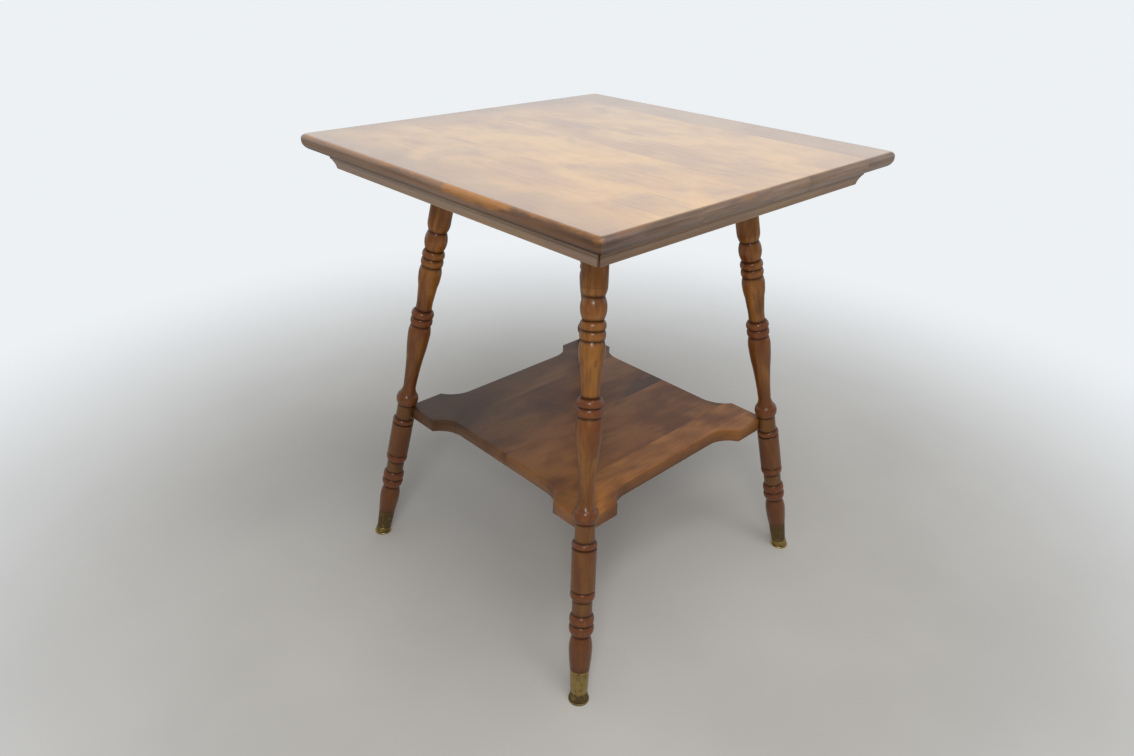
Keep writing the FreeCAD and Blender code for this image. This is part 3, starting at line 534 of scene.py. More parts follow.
def lay_boards(use, slab, seams, along, under, boards, mark_edge):
    """Cut a slab at its seams into boards, each with its own grain and tone, which carries
    painted shade on the shelf.
    """
    arris = bpy.context.scene.end_table.top.seam_arris
    axis = "YX".index(along)  # the boards lie side by side along this axis
    normal = Vector((1 - axis, axis, 0))
    bounds = [None, *seams, None]
    for number, (low, high) in enumerate(zip(bounds, bounds[1:]), start=1):
        node = "%s_board_%d" % (use, number)
        mesh = to_mesh(cut_board(slab, normal, low, high, arris), "birch_" + node)
        across, up, shift, tone = boards[number - 1]
        box_low, box_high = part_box(node)
        middle = (box_low[axis] + box_high[axis]) / 2
        lay_grain(mesh, along, (middle + across, under + up, shift))
        mark_edge(mesh)
        mark(mesh, tone=[tone] * len(mesh.vertices))
        new_piece(mesh.name, mesh, birch(use), use + "_wood", node)
    slab.free()


# --- the top ---

SIDE_STEP = 6 * MM  # length of the quads along the top's sides
WEAR_REACH = 6 * MM  # how far below the arris the edge's wear begins
ROUND_STEPS = 8  # facets in a quarter round
# Where each top board's pith lies, across and up from the board's middle and along it, and
# how strongly grey stain covers the board.
TOP_BOARDS = (
    (0.030, -0.085, 0.0, 0.10),
    (-0.045, -0.110, 0.7, 0.0),
    (0.020, 0.120, 1.9, 0.18),
    (-0.060, -0.095, 3.1, 0.05),
    (0.075, -0.060, 4.3, 0.75),
)
# Stretches of the top's edge where the stain has worn off: side, from, to, how strongly,
# and how far down from the face, in metres.
WORN_STRETCHES = (
    ("left", -0.166, -0.040, 0.90, 0.0115),
    ("left", -0.310, -0.166, 0.54, 0.0045),
    ("left", -0.040, 0.310, 0.52, 0.0045),
    ("front", -0.290, -0.225, 0.50, 0.0060),
    ("front", -0.080, -0.030, 0.50, 0.0085),
    ("right", -0.060, 0.140, 0.70, 0.0100),
    ("back", -0.200, 0.050, 0.60, 0.0090),
)
STRETCH_END = 0.012  # how softly a worn stretch begins and ends


def rounded_square(half, corner, level, steps, turns):
    """Points of a square with round corners, counterclockwise from above."""
    straight = half - corner
    side = [(half, -straight + 2 * straight * k / steps) for k in range(steps)]
    side += [(straight + corner * math.cos(angle), straight + corner * math.sin(angle))
             for angle in quarter_turn(turns)[:-1]]
    return four_sides(side, level)


def edge_profile(sizes, thickness):
    """The top's edge from below, as inset and height."""
    low, high = sizes.lower_round, sizes.upper_round
    angles = quarter_turn(ROUND_STEPS)
    under = [(low - low * math.sin(a), low - low * math.cos(a)) for a in angles]
    over = [(high - high * math.cos(a), thickness - high + high * math.sin(a))
            for a in angles]
    return under + [(0.0, (low + thickness - high) / 2)] + over


def worn_in(point, depth):
    """How far wear has taken an edge in at a point: long soft hollows and small knocks."""
    soft = max(0.0, noise.noise(point / (70 * MM)) + 0.1)
    knock = max(0.0, noise.noise(point / (9 * MM) + Vector((7, 3, 1))) - 0.45)
    return depth * (0.6 * soft + 2.2 * knock)


def top_slab(sizes):
    """The whole top as one slab with a rounded, worn edge."""
    steps = round(2 * TOP_HALF / SIDE_STEP)
    rings = [rounded_square(TOP_HALF - inset, sizes.corner_round, UNDER_TOP + height, steps,
                            ROUND_STEPS)
             for inset, height in edge_profile(sizes, TABLE_HEIGHT - UNDER_TOP)]
    start = TABLE_HEIGHT - sizes.upper_round - WEAR_REACH
    for ring in rings:
        for point in ring:
            if point.z > start:
                share = min(1.0, (point.z - start) / WEAR_REACH)
                flat = Vector((point.x, point.y, 0)).normalized()
                taken = worn_in(point, sizes.dent_depth) * share
                point -= Vector((flat.x, flat.y, 0.4)) * taken
    for point in rings[-1]:
        point.z = TABLE_HEIGHT
    return skin_rings(rings)


def wear_at(x, y, down):
    """How much stain is worn off the edge at a point this far below the face."""
    if abs(x) > abs(y):
        side, along = ("right" if x > 0 else "left"), y
    else:
        side, along = ("back" if y > 0 else "front"), x
    worn = 0.0
    for name, start, end, strength, reach in WORN_STRETCHES:
        if name == side:
            inside = min(along - start, end - along) / STRETCH_END
            along_share = max(0.0, min(1.0, 0.5 + 0.5 * inside))
            ragged = reach * (1 + 0.7 * noise.noise(Vector((x, y, 0)) / (24 * MM)))
            down_share = math.exp(-(down / ragged) ** 3)
            worn = max(worn, strength * along_share * down_share)
    return worn


def mark_top_edge(mesh):
    """Store where the wood is a side, end grain or a rubbed arris, and where shade and a
    reflection are painted.
    """
    upper_round = bpy.context.scene.end_table.top.upper_round
    thickness = TABLE_HEIGHT - UNDER_TOP

    def rule(vertex):
        x, y, z = vertex.co
        out_x, out_y = TOP_HALF - abs(x), TOP_HALF - abs(y)
        down = TABLE_HEIGHT - z
        on_face = down < 0.02 * MM or min(out_x, out_y) > upper_round
        side = min(1.0, 0.45 + down / (1.6 * MM))
        if on_face and down < thickness / 2:
            side = 0.0
        away = math.hypot(x + TOP_HALF, y + TOP_HALF)  # from the front left corner
        # The edge is painted lighter farther from the front left corner, a painted reflection.
        edge = side * (1 - 0.34 * min(1.0, away / (2 * TOP_HALF)))
        at_corner = bell(away, 18 * MM) * math.exp(-(down / (12 * MM)) ** 3)
        rub = 0.0 if on_face else max(wear_at(x, y, down), 0.5 * at_corner)
        # Painted shade: the lower part of the edge and the underside are darker, most on the
        # left and right sides; the front and back are also darker just under the face.
        foot = min(1.0, max(0.0, (down - 0.70 * thickness) / (0.2 * thickness)))
        soaked = 0.85 * foot
        if out_x >= out_y:
            soaked = max(0.3 * foot, 0.42 * side * bell(down, 5 * MM))
        # The sides are darker near the front left corner, the dark end of that painted
        # gradient.
        near = 0.30 * side * bell(away, 0.16)
        return edge, side if out_y < out_x else 0.0, rub, max(near, soaked)

    mark_each(mesh, ("edge", "end_grain", "rub", "deep"), rule)


class OBJECT_OT_end_table_top(bpy.types.Operator):
    """Make the five glued boards of the top, with a rounded and worn edge"""
    bl_idname = "object.end_table_top"
    bl_label = "Top Boards"

    def execute(self, context):
        slab = top_slab(context.scene.end_table.top)
        lay_boards("top", slab, TOP_SEAMS, "Y", UNDER_TOP, TOP_BOARDS, mark_top_edge)
        return {"FINISHED"}


# --- the apron ---

SOFT = 0.8 * MM  # how far the moulding's arrises are eased
COVE_STEPS = 8
# Stations along a moulding, with two close to each end for the stain in the mitre.
MITRE_STATIONS = (0.0018, 0.005)
STATIONS = sorted([k / 48 for k in range(49)] + [*MITRE_STATIONS]
                  + [1 - station for station in MITRE_STATIONS])
# Each side's stain and redness, and whether its left or right mitre has opened. The left is
# painted lighter, a painted reflection of the room, and the front redder, where it reflects
# less of the room. They are drawn as at the front and then turned round to their side.
MOULDINGS = {
    "front": (0.66, 0.32, "left"),
    "right": (0.60, 0.0, None),
    "back": (0.60, 0.0, None),
    "left": (0.32, 0.0, "right"),
}


def apron_section(sizes):
    """The moulding's section as outward reach and height, from its inner foot, ccw."""
    lip_level = UNDER_TOP - sizes.apron_lip
    inner = LIP_FACE - sizes.apron_width
    foot = LIP_FACE - sizes.apron_set_in
    section = [(inner, APRON_FOOT), (foot - SOFT, APRON_FOOT)]
    for k in range(COVE_STEPS + 1):
        share = k / COVE_STEPS
        hollow = sizes.apron_hollow * 4 * share * (1 - share)
        reach = foot + (LIP_FACE - 1.5 * SOFT - foot) * share
        level = APRON_FOOT + SOFT + (lip_level - APRON_FOOT - 1.5 * SOFT) * share
        section.append((reach - hollow, level))
    return section + [
        (LIP_FACE - 1.2 * SOFT, lip_level - 0.2 * SOFT),
        (LIP_FACE - 0.35 * SOFT, lip_level + 0.25 * SOFT),
        (LIP_FACE, lip_level + SOFT),
        (LIP_FACE, UNDER_TOP - SOFT),
        (LIP_FACE - 0.3 * SOFT, UNDER_TOP - 0.3 * SOFT),
        (LIP_FACE - SOFT, UNDER_TOP),
        (inner, UNDER_TOP),
    ]


def mark_moulding(mesh, sizes, side, insets):
    """Store the stain on a moulding: rubbed at its lip, dark in its mitres and hollows, with
    painted shade under the top and a painted reflection.
    """
    stained, red, _ = MOULDINGS[side]
    lip_level = UNDER_TOP - sizes.apron_lip
    proud_from = LIP_FACE - sizes.apron_set_in + 4 * MM

    def rule(vertex):
        x, reach, level = vertex.co.x, -vertex.co.y, vertex.co.z
        away = LIP_FACE + (-x if side == "left" else x)  # from the front left mitre
        # The edge is painted lighter farther from the front left mitre, a painted reflection.
        edge = stained * (1 - 0.45 * away / (2 * LIP_FACE))
        proud = bell(level - lip_level, 1.2 * MM) if reach > proud_from else 0.0
        end = reach - insets["left" if x < 0 else "right"] - abs(x)
        mitre = bell(max(0.0, end), 1.3 * MM)
        # Painted shade under the top's overhang.
        shade = bell(UNDER_TOP - level, 6 * MM)
        under_lip = bell(lip_level - 1.2 * MM - level, 1.6 * MM)
        return edge, 0.35 * proud, max(0.85 * mitre, 0.8 * shade, 0.5 * under_lip), red

    mark_each(mesh, ("edge", "rub", "deep", "red"), rule)


class OBJECT_OT_end_table_apron(bpy.types.Operator):
    """Make the four mitred mouldings under the top"""
    bl_idname = "object.end_table_apron"
    bl_label = "Apron Mouldings"

    def execute(self, context):
        sizes = context.scene.end_table.top
        section = apron_section(sizes)
        for index, (side, (_, _, opened)) in enumerate(MOULDINGS.items()):
            insets = {}
            for end in ("left", "right"):
                gap = sizes.open_mitre if end == opened else sizes.mitre_gap
                insets[end] = gap / math.sqrt(2)
            rings = []
            for share in STATIONS:
                ring = []
                for reach, level in section:
                    left = -(reach - insets["left"])
                    right = reach - insets["right"]
                    ring.append(Vector((left + (right - left) * share, -reach, level)))
                rings.append(ring)
            bm = skin_rings(rings, smooth=False)
            bmesh.ops.recalc_face_normals(bm, faces=bm.faces[:])
            mesh = to_mesh(bm, "birch_moulding_" + side)
            mark_moulding(mesh, sizes, side, insets)
            lay_grain(mesh, "X", (0.03, UNDER_TOP - 0.05, index * 1.3))
            mesh.transform(Matrix.Rotation(math.radians(90 * index), 4, "Z"))
            mesh.set_sharp_from_angle(angle=math.radians(40))
            for polygon in mesh.polygons:
                polygon.use_smooth = True
            new_piece(mesh.name, mesh, birch("top"), "apron_wood", "apron_" + side)
        return {"FINISHED"}


# --- turned pieces ---

AXLE = 1 * MM  # radius of the circle that carries an outline round
ALL_LEANING = (-2.0, -1.0)  # a bend so low that the whole piece follows the leg's axis


def grown(name, source, build, given):
    """Run a node tree on a mesh and give the result as a plain mesh.

    The tree is built once. What is given to it stands under the name of each input, as the
    kind of socket and the value.
    """
    tree = bpy.data.node_groups.get(build.__name__)
    if not tree:
        tree = bpy.data.node_groups.new(build.__name__, "GeometryNodeTree")
        kinds = {"Source": "Geometry", **{key: kind for key, (kind, _) in given.items()}}
        for key, kind in kinds.items():
            tree.interface.new_socket(key, in_out="INPUT", socket_type="NodeSocket" + kind)
        tree.interface.new_socket("Result", in_out="OUTPUT", socket_type="NodeSocketGeometry")
        n = Nodes(tree)
        sockets = n.add("NodeGroupInput").node.outputs
        shape = n.add("GeometryNodeRealizeInstances", {"Geometry": build(n, sockets)})
        shape = n.add("GeometryNodeSetMaterial", {
            "Geometry": shape, "Material": sockets["Finish"]})
        n.add("NodeGroupOutput", {"Result": shape})
    holder = bpy.data.objects.new(name, source)
    bpy.context.scene.collection.objects.link(holder)
    modifier = holder.modifiers.new("Nodes", "NODES")
    modifier.node_group = tree
    for item in tree.interface.items_tree:
        if item.name in given:
            modifier[item.identifier] = given[item.name][1]
    graph = bpy.context.evaluated_depsgraph_get()
    result = bpy.data.meshes.new_from_object(holder.evaluated_get(graph), depsgraph=graph)
    result.name = name
    holder.modifiers.remove(modifier)
    bpy.data.objects.remove(holder)
    return result


def turn_outline(n, given):
    """Nodes that turn an outline round an axis and stand it on a leg's line.

    The outline is a chain of vertices with X the radius and Y the drop, because a swept
    outline's Y runs downwards. Below Bend From the piece stays upright, and above Bend To
    it follows the leg's axis.
    """
    path = n.add("GeometryNodeCurvePrimitiveCircle", {
        "Resolution": given["Facets"], "Radius": AXLE})
    path = n.add("GeometryNodeSetCurveNormal", {"Curve": path}, mode="Z_UP")
    outline = n.add("GeometryNodeTransform", {
        "Geometry": given["Source"], "Translation": (-AXLE, 0, 0)})
    outline = n.add("GeometryNodeMeshToCurve", {"Mesh": outline})
    skin = n.add("GeometryNodeCurveToMesh", {"Curve": path, "Profile Curve": outline})
    skin = n.add("GeometryNodeMergeByDistance", {"Geometry": skin, "Distance": 1e-6})
    place = n.add("GeometryNodeInputPosition")
    skin = n.add("GeometryNodeStoreNamedAttribute", {
        "Geometry": skin, "Name": "grain",
        "Value": n.vector("ADD", place, given["Grain Shift"])},
        data_type="FLOAT_VECTOR", domain="POINT")
    lean = n.add("FunctionNodeAlignRotationToVector", {"Vector": given["Axis"]}, axis="Z")
    leaned = n.add("FunctionNodeRotateVector", {"Vector": place, "Rotation": lean})
    height = n.add("ShaderNodeSeparateXYZ", {"Vector": place}, 2)
    bend = n.ramp(height, given["Bend From"], given["Bend To"])
    posed = n.add("ShaderNodeMix", {0: bend, 4: place, 5: leaned}, 1, data_type="VECTOR")
    stood = n.vector("ADD", posed, given["Foot"])
    skin = n.add("GeometryNodeSetPosition", {"Geometry": skin, "Position": stood})
    return n.add("GeometryNodeSetShadeSmooth", {"Geometry": skin, "Shade Smooth": True})


def turned_piece(name, node, corner, points, marks, material, slot, bend=ALL_LEANING):
    """Turn an outline on the axis of the leg at a corner and make the piece."""
    source = bpy.data.meshes.new("outline")
    source.from_pydata([(radius, -height, 0) for radius, height in points],
                       [(k, k + 1) for k in range(len(points) - 1)], [])
    mark(source, **marks)
    x, y = CORNERS[corner]
    mesh = grown(name + corner, source, turn_outline, {
        "Facets": ("Int", bpy.context.scene.end_table.leg.facets),
        "Foot": ("Vector", (FOOT_REACH * x, FOOT_REACH * y, 0.0)),
        "Axis": ("Vector", (LEG_AXIS.x * x, LEG_AXIS.y * y, LEG_AXIS.z)),
        "Bend From": ("Float", bend[0]),
        "Bend To": ("Float", bend[1]),
        "Grain Shift": ("Vector", (
            0.012 * x + 0.004, 0.011 * y, 1.7 * list(CORNERS).index(corner))),
        "Finish": ("Material", material),
    })
    bm = bmesh.new()
    bm.from_mesh(mesh)
    bmesh.ops.recalc_face_normals(bm, faces=bm.faces[:])
    bm.to_mesh(mesh)
    bm.free()
    mesh.set_sharp_from_angle(angle=math.radians(50))
    new_piece(name + corner, mesh, material, slot, node + corner)


# --- the legs ---

SCRIBE = 605.0  # height along the axis of a faint scribed line on the upper barrel
LINE_STEP = 0.7  # longest step along a turned outline
LONG_BEAD = 25.0  # a bead as long as this is a ball, and its outline a parabola
CUP_END = 28.6  # diameter over the cup, in whose groove little stain lies
PAINTED_SHADE_TO = 560.0  # up to this height the leg is painted darker towards the foot, as painted shade
LEAN_SINE = math.sqrt(1 - LEG_AXIS.z ** 2)

# One member of the turning: its length, the diameter at its upper end, how far it bulges
# off the straight line, how red it is wiped there, and whether it is a bead.
Member = namedtuple("Member", "run end rise red bead")


def plain(run, end, rise=0.0, red=0.1):
    return Member(run, end, rise, red, False)


def leg_members(sizes, start):
    """Members of the turning from the ferrule's mouth up to the batten, in millimetres."""
    barrel, widest, waist, neck, groove = (size / MM for size in (
        sizes.barrel_diameter, sizes.bead_diameter, sizes.waist_diameter,
        sizes.neck_diameter, sizes.groove_diameter))

    def bead(run, first, end, red, widest=widest):
        return Member(run, end, widest / 2 - (first + end) / 4, red, True)

    foot = [
        plain(34.0, 33.8, 0.5, 0.5),  # foot vase
        plain(22.0, 25.8, 1.0, 0.6),
        bead(18.2, 25.8, groove, 1.0),
        bead(16.0, groove, 29.0, 0.9),
        plain(22.0, 29.0),  # ankle
        bead(15.0, 29.0, groove, 1.0),
        plain(1.5, barrel, 0.0, 0.3),
    ]
    under_shelf = [
        plain(1.5, groove, 0.0, 0.4),
        bead(10.0, groove, neck, 0.9),  # the shelf is let down on this bead
    ]
    bead_top = SHELF_LEVEL / MM / LEG_AXIS.z
    lower_barrel = bead_top - start - sum(m.run for m in foot + under_shelf)
    # A run below 1 is a share of the length that is free.
    upper = [
        plain(27.6, neck),  # neck at the shelf
        bead(21.0, neck, CUP_END, 0.75, 36.4),  # cup
        plain(17.0, waist, -1.4, 0.35),
        plain(0.328, (waist + 35.7) / 2, -0.5),  # lower vase
        plain(39.0, 35.7, 0.5, 0.45),
        plain(20.5, groove, 1.0, 0.7),
        bead(13.8, groove, groove, 1.0),
        bead(13.8, groove, 25.4, 1.0),
        plain(13.0, 25.4),
        plain(0.168, 30.3),  # upper vase
        plain(18.0, 35.2, 0.5, 0.3),
        plain(16.9, groove, 1.0, 0.45),
        bead(13.4, groove, groove, 0.5, 35.0),
        bead(13.4, groove, 28.2, 0.5, 35.0),
        bead(30.5, 28.2, 28.2, 0.5, 35.2),  # ball
        plain(15.0, barrel, 1.0, 0.15),
        plain(0.504, barrel, 0.0, 0.15),  # upper barrel
    ]
    shoulder = (BATTEN_LOW[2] + sizes.socket_depth) / MM / LEG_AXIS.z
    free = shoulder - bead_top - sum(m.run for m in upper if m.run > 1)
    upper = [m if m.run > 1 else m._replace(run=m.run * free) for m in upper]
    return foot + [plain(lower_barrel, barrel, 0.0, 0.5)] + under_shelf + upper


def leg_outline(sizes, feet):
    """Outline of a leg with its marks: red beads, grooves dark with stain and painted shade,
    crowns rubbed with a painted highlight, and painted shade towards the foot.
    """
    spigot_end = feet.glide_height / MM + 1.3
    start = (feet.glide_height + feet.ferrule_length) / MM
    radius = feet.ferrule_mouth / 2 / MM
    fit = feet.ferrule_wall / MM + 0.1
    # Each point is a radius, a height, how red it is and how far up a bead's crown.
    line = [(out, level, 0.6, 0.0) for out, level in (
        (0.0, spigot_end), (feet.ferrule_foot / 2 / MM - fit, spigot_end),
        (radius - fit, start), (radius, start + 0.02))]
    height = start
    cusps = []  # heights of the grooves, and how much stain lies there
    members = leg_members(sizes, start)
    before = members[0]
    for member, follower in zip(members, members[1:] + members[-1:]):
        end = member.end / 2
        steps = max(2, math.ceil(member.run / LINE_STEP)) if member.run > 2 else 1
        for k in range(1, steps + 1):
            share = k / steps
            arch = 4 * share * (1 - share)
            out = radius + (end - radius) * share + member.rise * arch
            if member.bead and member.run < LONG_BEAD:
                # Full beads are arcs, fuller at their shoulders than a parabola.
                out += 0.35 * member.rise * arch * (1 - arch)
            blend = 1.0 if member.bead or before.bead else share
            red = before.red + (member.red - before.red) * blend
            line.append((out, height + member.run * share, red, arch * member.bead))
        height += member.run
        radius = end
        before = member
        if member.bead or follower.bead:
            cusps.append((height, 0.35 if member.end == CUP_END else 1.0))
    tenon = sizes.tenon_diameter / 2 / MM
    axis_end = (LEG_END / MM - tenon * LEAN_SINE) / LEG_AXIS.z
    line += [(out, level, 0.0, 0.0) for out, level in (
        (tenon, height + 0.02), (tenon, axis_end - 0.5), (tenon - 0.5, axis_end),
        (0.0, axis_end))]
    points, marks = [], {"deep": [], "rub": [], "red": [], "tone": []}
    for out, level, red, crown in line:
        # Grooves are dark with gathered stain and painted shade.
        dark = max(weight * math.exp(-(abs(level - cusp) / 2.2) ** 1.5)
                   for cusp, weight in cusps)
        scribed = bell(level - SCRIBE, 0.45)
        foot = math.exp(-max(0.0, level - start) / 9.0)
        # Painted shade: the leg grows darker towards the foot, through the tone and, on the
        # red beads, through the groove colour.
        low = 1 - min(1.0, level / PAINTED_SHADE_TO) ** 2.5
        marks["deep"].append(max(0.86 * dark, 0.35 * scribed, 0.50 * foot, 0.27 * red * low))
        # Bead crowns are rubbed lighter: wear, with a painted highlight.
        marks["rub"].append(0.36 * crown)
        marks["red"].append(red)
        marks["tone"].append(0.95 * low)
        points.append(((out - 0.25 * scribed) * MM, level * MM))
    return points, marks


class OBJECT_OT_end_table_legs(bpy.types.Operator):
    """Turn the four splayed legs"""
    bl_idname = "object.end_table_legs"
    bl_label = "Turned Legs"

    def execute(self, context):
        settings = context.scene.end_table
        points, marks = leg_outline(settings.leg, settings.foot)
        for corner in CORNERS:
            turned_piece("turned_leg_", "leg_", corner, points, marks, birch("turnings"),
                         "leg_wood")
        return {"FINISHED"}


# --- brass feet ---

CUP_FLOOR = 1.2 * MM  # thickness of the ferrule's floor
STEM_FIT = 0.15 * MM  # room round the glide's stem
FOLD = 0.5 * MM  # how far the sheet's edges are rolled over
SHEET_WAVE = 0.08 * MM  # how far the drawn sheet waves
GLIDE_NECK = 13.3 * MM  # radius of a glide's dome over its rim
STEM_LENGTH = 24 * MM


def ferrule_outline(feet):
    """Closed outline of the cup as radius, level and rub, from the stem's hole outwards."""
    low, high = feet.glide_height, feet.glide_height + feet.ferrule_length
    foot, mouth, wall = feet.ferrule_foot / 2, feet.ferrule_mouth / 2, feet.ferrule_wall
    hole = feet.stem_diameter / 2 + STEM_FIT
    line = [(hole, low, 0.2), (foot - FOLD, low, 0.6),
            (foot - 0.3 * FOLD, low + 0.3 * FOLD, 0.8)]
    steps = 12
    for k in range(steps + 1):
        share = k / steps
        wave = abs(SHEET_WAVE * math.sin(share * 9.0))
        line.append((foot + (mouth - foot) * share - wave,
                     low + FOLD + (high - low - 2 * FOLD) * share, 0.1))
    return line + [
        (mouth - 0.2 * FOLD, high - 0.3 * FOLD, 0.8), (mouth - 0.5 * wall, high, 0.8),
        (mouth - wall, high - FOLD, 0.3), (foot - wall, low + CUP_FLOOR, 0.0),
        (hole, low + CUP_FLOOR, 0.0), line[0]]


def glide_outline(feet):
    """Outline of a glide as radius, level and rub: flat sole, thin rim, dome and stem."""
    rim, thick = feet.glide_diameter / 2, feet.glide_rim
    seat = feet.ferrule_foot / 2 - 0.4 * MM
    high, stem = feet.glide_height, feet.stem_diameter / 2
    line = [(0.0, 0.0, 0.0), (rim - 0.9 * MM, 0.0, 0.5), (rim - 0.25 * MM, 0.3 * MM, 0.9),
            (rim, 1.0 * MM, 1.0), (rim - 0.2 * MM, 1.9 * MM, 1.0),
            (rim - 0.9 * MM, thick, 0.8)]
    for angle in quarter_turn(10):
        sweep = math.cos(angle)
        line.append((seat + (GLIDE_NECK - seat) * sweep,
                     thick + (high - thick) * math.sin(angle) ** 1.15, 0.35 * sweep))
    end = high + STEM_LENGTH
    return line + [(stem, high, 0.0), (stem, end, 0.0), (0.0, end, 0.0)]


def rubbed(line, share=1.0):
    """Split an outline into its points and a share of its rub."""
    return [point[:2] for point in line], {"rub": [share * point[2] for point in line]}


class OBJECT_OT_end_table_feet(bpy.types.Operator):
    """Make the brass ferrules and the glides under them"""
    bl_idname = "object.end_table_feet"
    bl_label = "Brass Feet"

    def execute(self, context):
        feet = context.scene.end_table.foot
        cup, disc = ferrule_outline(feet), glide_outline(feet)
        for corner in CORNERS:
            # The front left ferrule is rubbed bright, and its glide is dull.
            odd = corner == "front_left"
            sheet = (made_once(aged_brass, "aged_brass_sheet", 0.17) if odd else
                     made_once(aged_brass, "tarnished_brass_sheet", 0.42))
            turned_piece("brass_ferrule_", "ferrule_", corner, *rubbed(cup), sheet, "brass")
            glide = (made_once(aged_brass, "tarnished_brass_glide", 0.42) if odd else
                     made_once(aged_brass, "aged_brass_glide", 0.24))
            turned_piece("brass_glide_", "foot_glide_", corner,
                         *rubbed(disc, 0.3 if odd else 1.0), glide, "glide_brass",
                         (feet.glide_rim, feet.glide_height))
        return {"FINISHED"}


# --- the shelf ---

FLAT_STEPS = 8  # quads along half a recess, and along the straight of an ear
COVE_ARC_STEPS = 14
HOLLOW_STEPS = 6
EASE_STEPS = 4  # facets of the shelf's softened arrises
# Pith and tone of each shelf board, as for the top's. The tone grows towards the back: the
# board's own tone, with painted shade under the top.
SHELF_BOARDS = (
    (0.02, -0.07, 0.3, 0.0),
    (-0.05, 0.10, 1.6, 0.20),
    (0.03, -0.12, 2.7, 0.38),
    (-0.02, -0.08, 4.1, 0.52),
)


def shelf_outline(sizes, level, inset):
    """The shelf's outline at a level, counterclockwise from above."""
    # Half of one side comes first: recess, cove, ear and then the hollow for the leg's neck.
    edge, floor = SHELF_HALF - inset, SHELF_HALF - sizes.recess
    radius = sizes.cove_radius
    centre, wide = floor + radius, radius + inset
    cove = math.sqrt(radius ** 2 - (radius - sizes.recess) ** 2)  # its length along the side
    flat = SHELF_HALF - sizes.ear_length - cove
    half = [(floor - inset, flat * k / FLAT_STEPS) for k in range(FLAT_STEPS)]
    last = math.acos((centre - edge) / wide)
    for k in range(COVE_ARC_STEPS + 1):
        angle = last * k / COVE_ARC_STEPS
        half.append((centre - wide * math.cos(angle), flat + wide * math.sin(angle)))
    axis = FOOT_REACH - SLOPE * level  # from the middle to the leg's axis, along X and Y
    hollow = sizes.neck_diameter / 2 + inset
    gap = axis - edge
    meet = axis - math.sqrt(hollow ** 2 - gap ** 2)
    start = half[-1][1]
    half += [(edge, start + (meet - start) * k / FLAT_STEPS) for k in range(1, FLAT_STEPS)]
    first = math.atan2(gap, axis - meet)
    for k in range(HOLLOW_STEPS + 1):
        angle = first + (math.radians(45) - first) * k / HOLLOW_STEPS
        half.append((axis - hollow * math.sin(angle), axis - hollow * math.cos(angle)))
    return four_sides([(x, -y) for x, y in reversed(half[1:-1])] + half, level)


def shelf_slab(sizes):
    """The whole shelf with softened arrises, hollowed at its corners for the legs."""
    soft = sizes.arris
    angles = quarter_turn(EASE_STEPS)
    under = [(SHELF_LEVEL + soft * (1 - math.cos(a)), soft * (1 - math.sin(a)))
             for a in angles]
    over = [(SHELF_TOP - soft * (1 - math.sin(a)), soft * (1 - math.cos(a))) for a in angles]
    return skin_rings([shelf_outline(sizes, *ring) for ring in under + over])


def mark_shelf_edge(mesh):
    """Store where the shelf is a side, end grain, a rubbed arris or dark in front."""
    arris = bpy.context.scene.end_table.shelf.arris
    mesh.update()

    def rule(vertex):
        down, normal = SHELF_TOP - vertex.co.z, vertex.normal
        side = min(1.0, 1.3 * max(0.0, 1 - abs(normal.z)))
        if SHELF_LEVEL + arris < vertex.co.z < SHELF_TOP - arris:
            side = 1.0
        stained = side * min(1.0, down / (4 * MM))
        proud = side * (1 - min(1.0, down / (3 * MM)))
        return (0.58 * stained, 0.25 * stained * normal.x ** 2, 0.42 * proud,
                0.40 * stained * max(0.0, -normal.y))

    mark_each(mesh, ("edge", "end_grain", "rub", "deep"), rule)


class OBJECT_OT_end_table_shelf(bpy.types.Operator):
    """Make the four glued boards of the eared shelf"""
    bl_idname = "object.end_table_shelf"
    bl_label = "Shelf Boards"

    def execute(self, context):
        slab = shelf_slab(context.scene.end_table.shelf)
        lay_boards("shelf", slab, SHELF_SEAMS, "X", SHELF_LEVEL, SHELF_BOARDS,
                   mark_shelf_edge)
        return {"FINISHED"}


# --- what is under the top ---

# The pieces whose CAD meshes stay: how their names start, their wood and the way it runs.
PLAIN_PIECES = (
    ("batten", "sawn_pine_batten", "X"),
    ("glue_block", "sawn_pine_block", "Y"),
    ("shelf_dowels", "turned_birch_dowel", "Z"),
)
SCREW_SIZES = {  # in millimetres
    "Head Diameter": 9.6,
    "Head Height": 3.0,
    "Shank Diameter": 5.0,
    "Length": 36.0,
    "Slot Width": 1.1,
}
END_DISTANCE = 14 * MM  # from a batten's end to its outermost screw
SEAM_DISTANCE = 26 * MM  # from the fourth board's seam to its screw


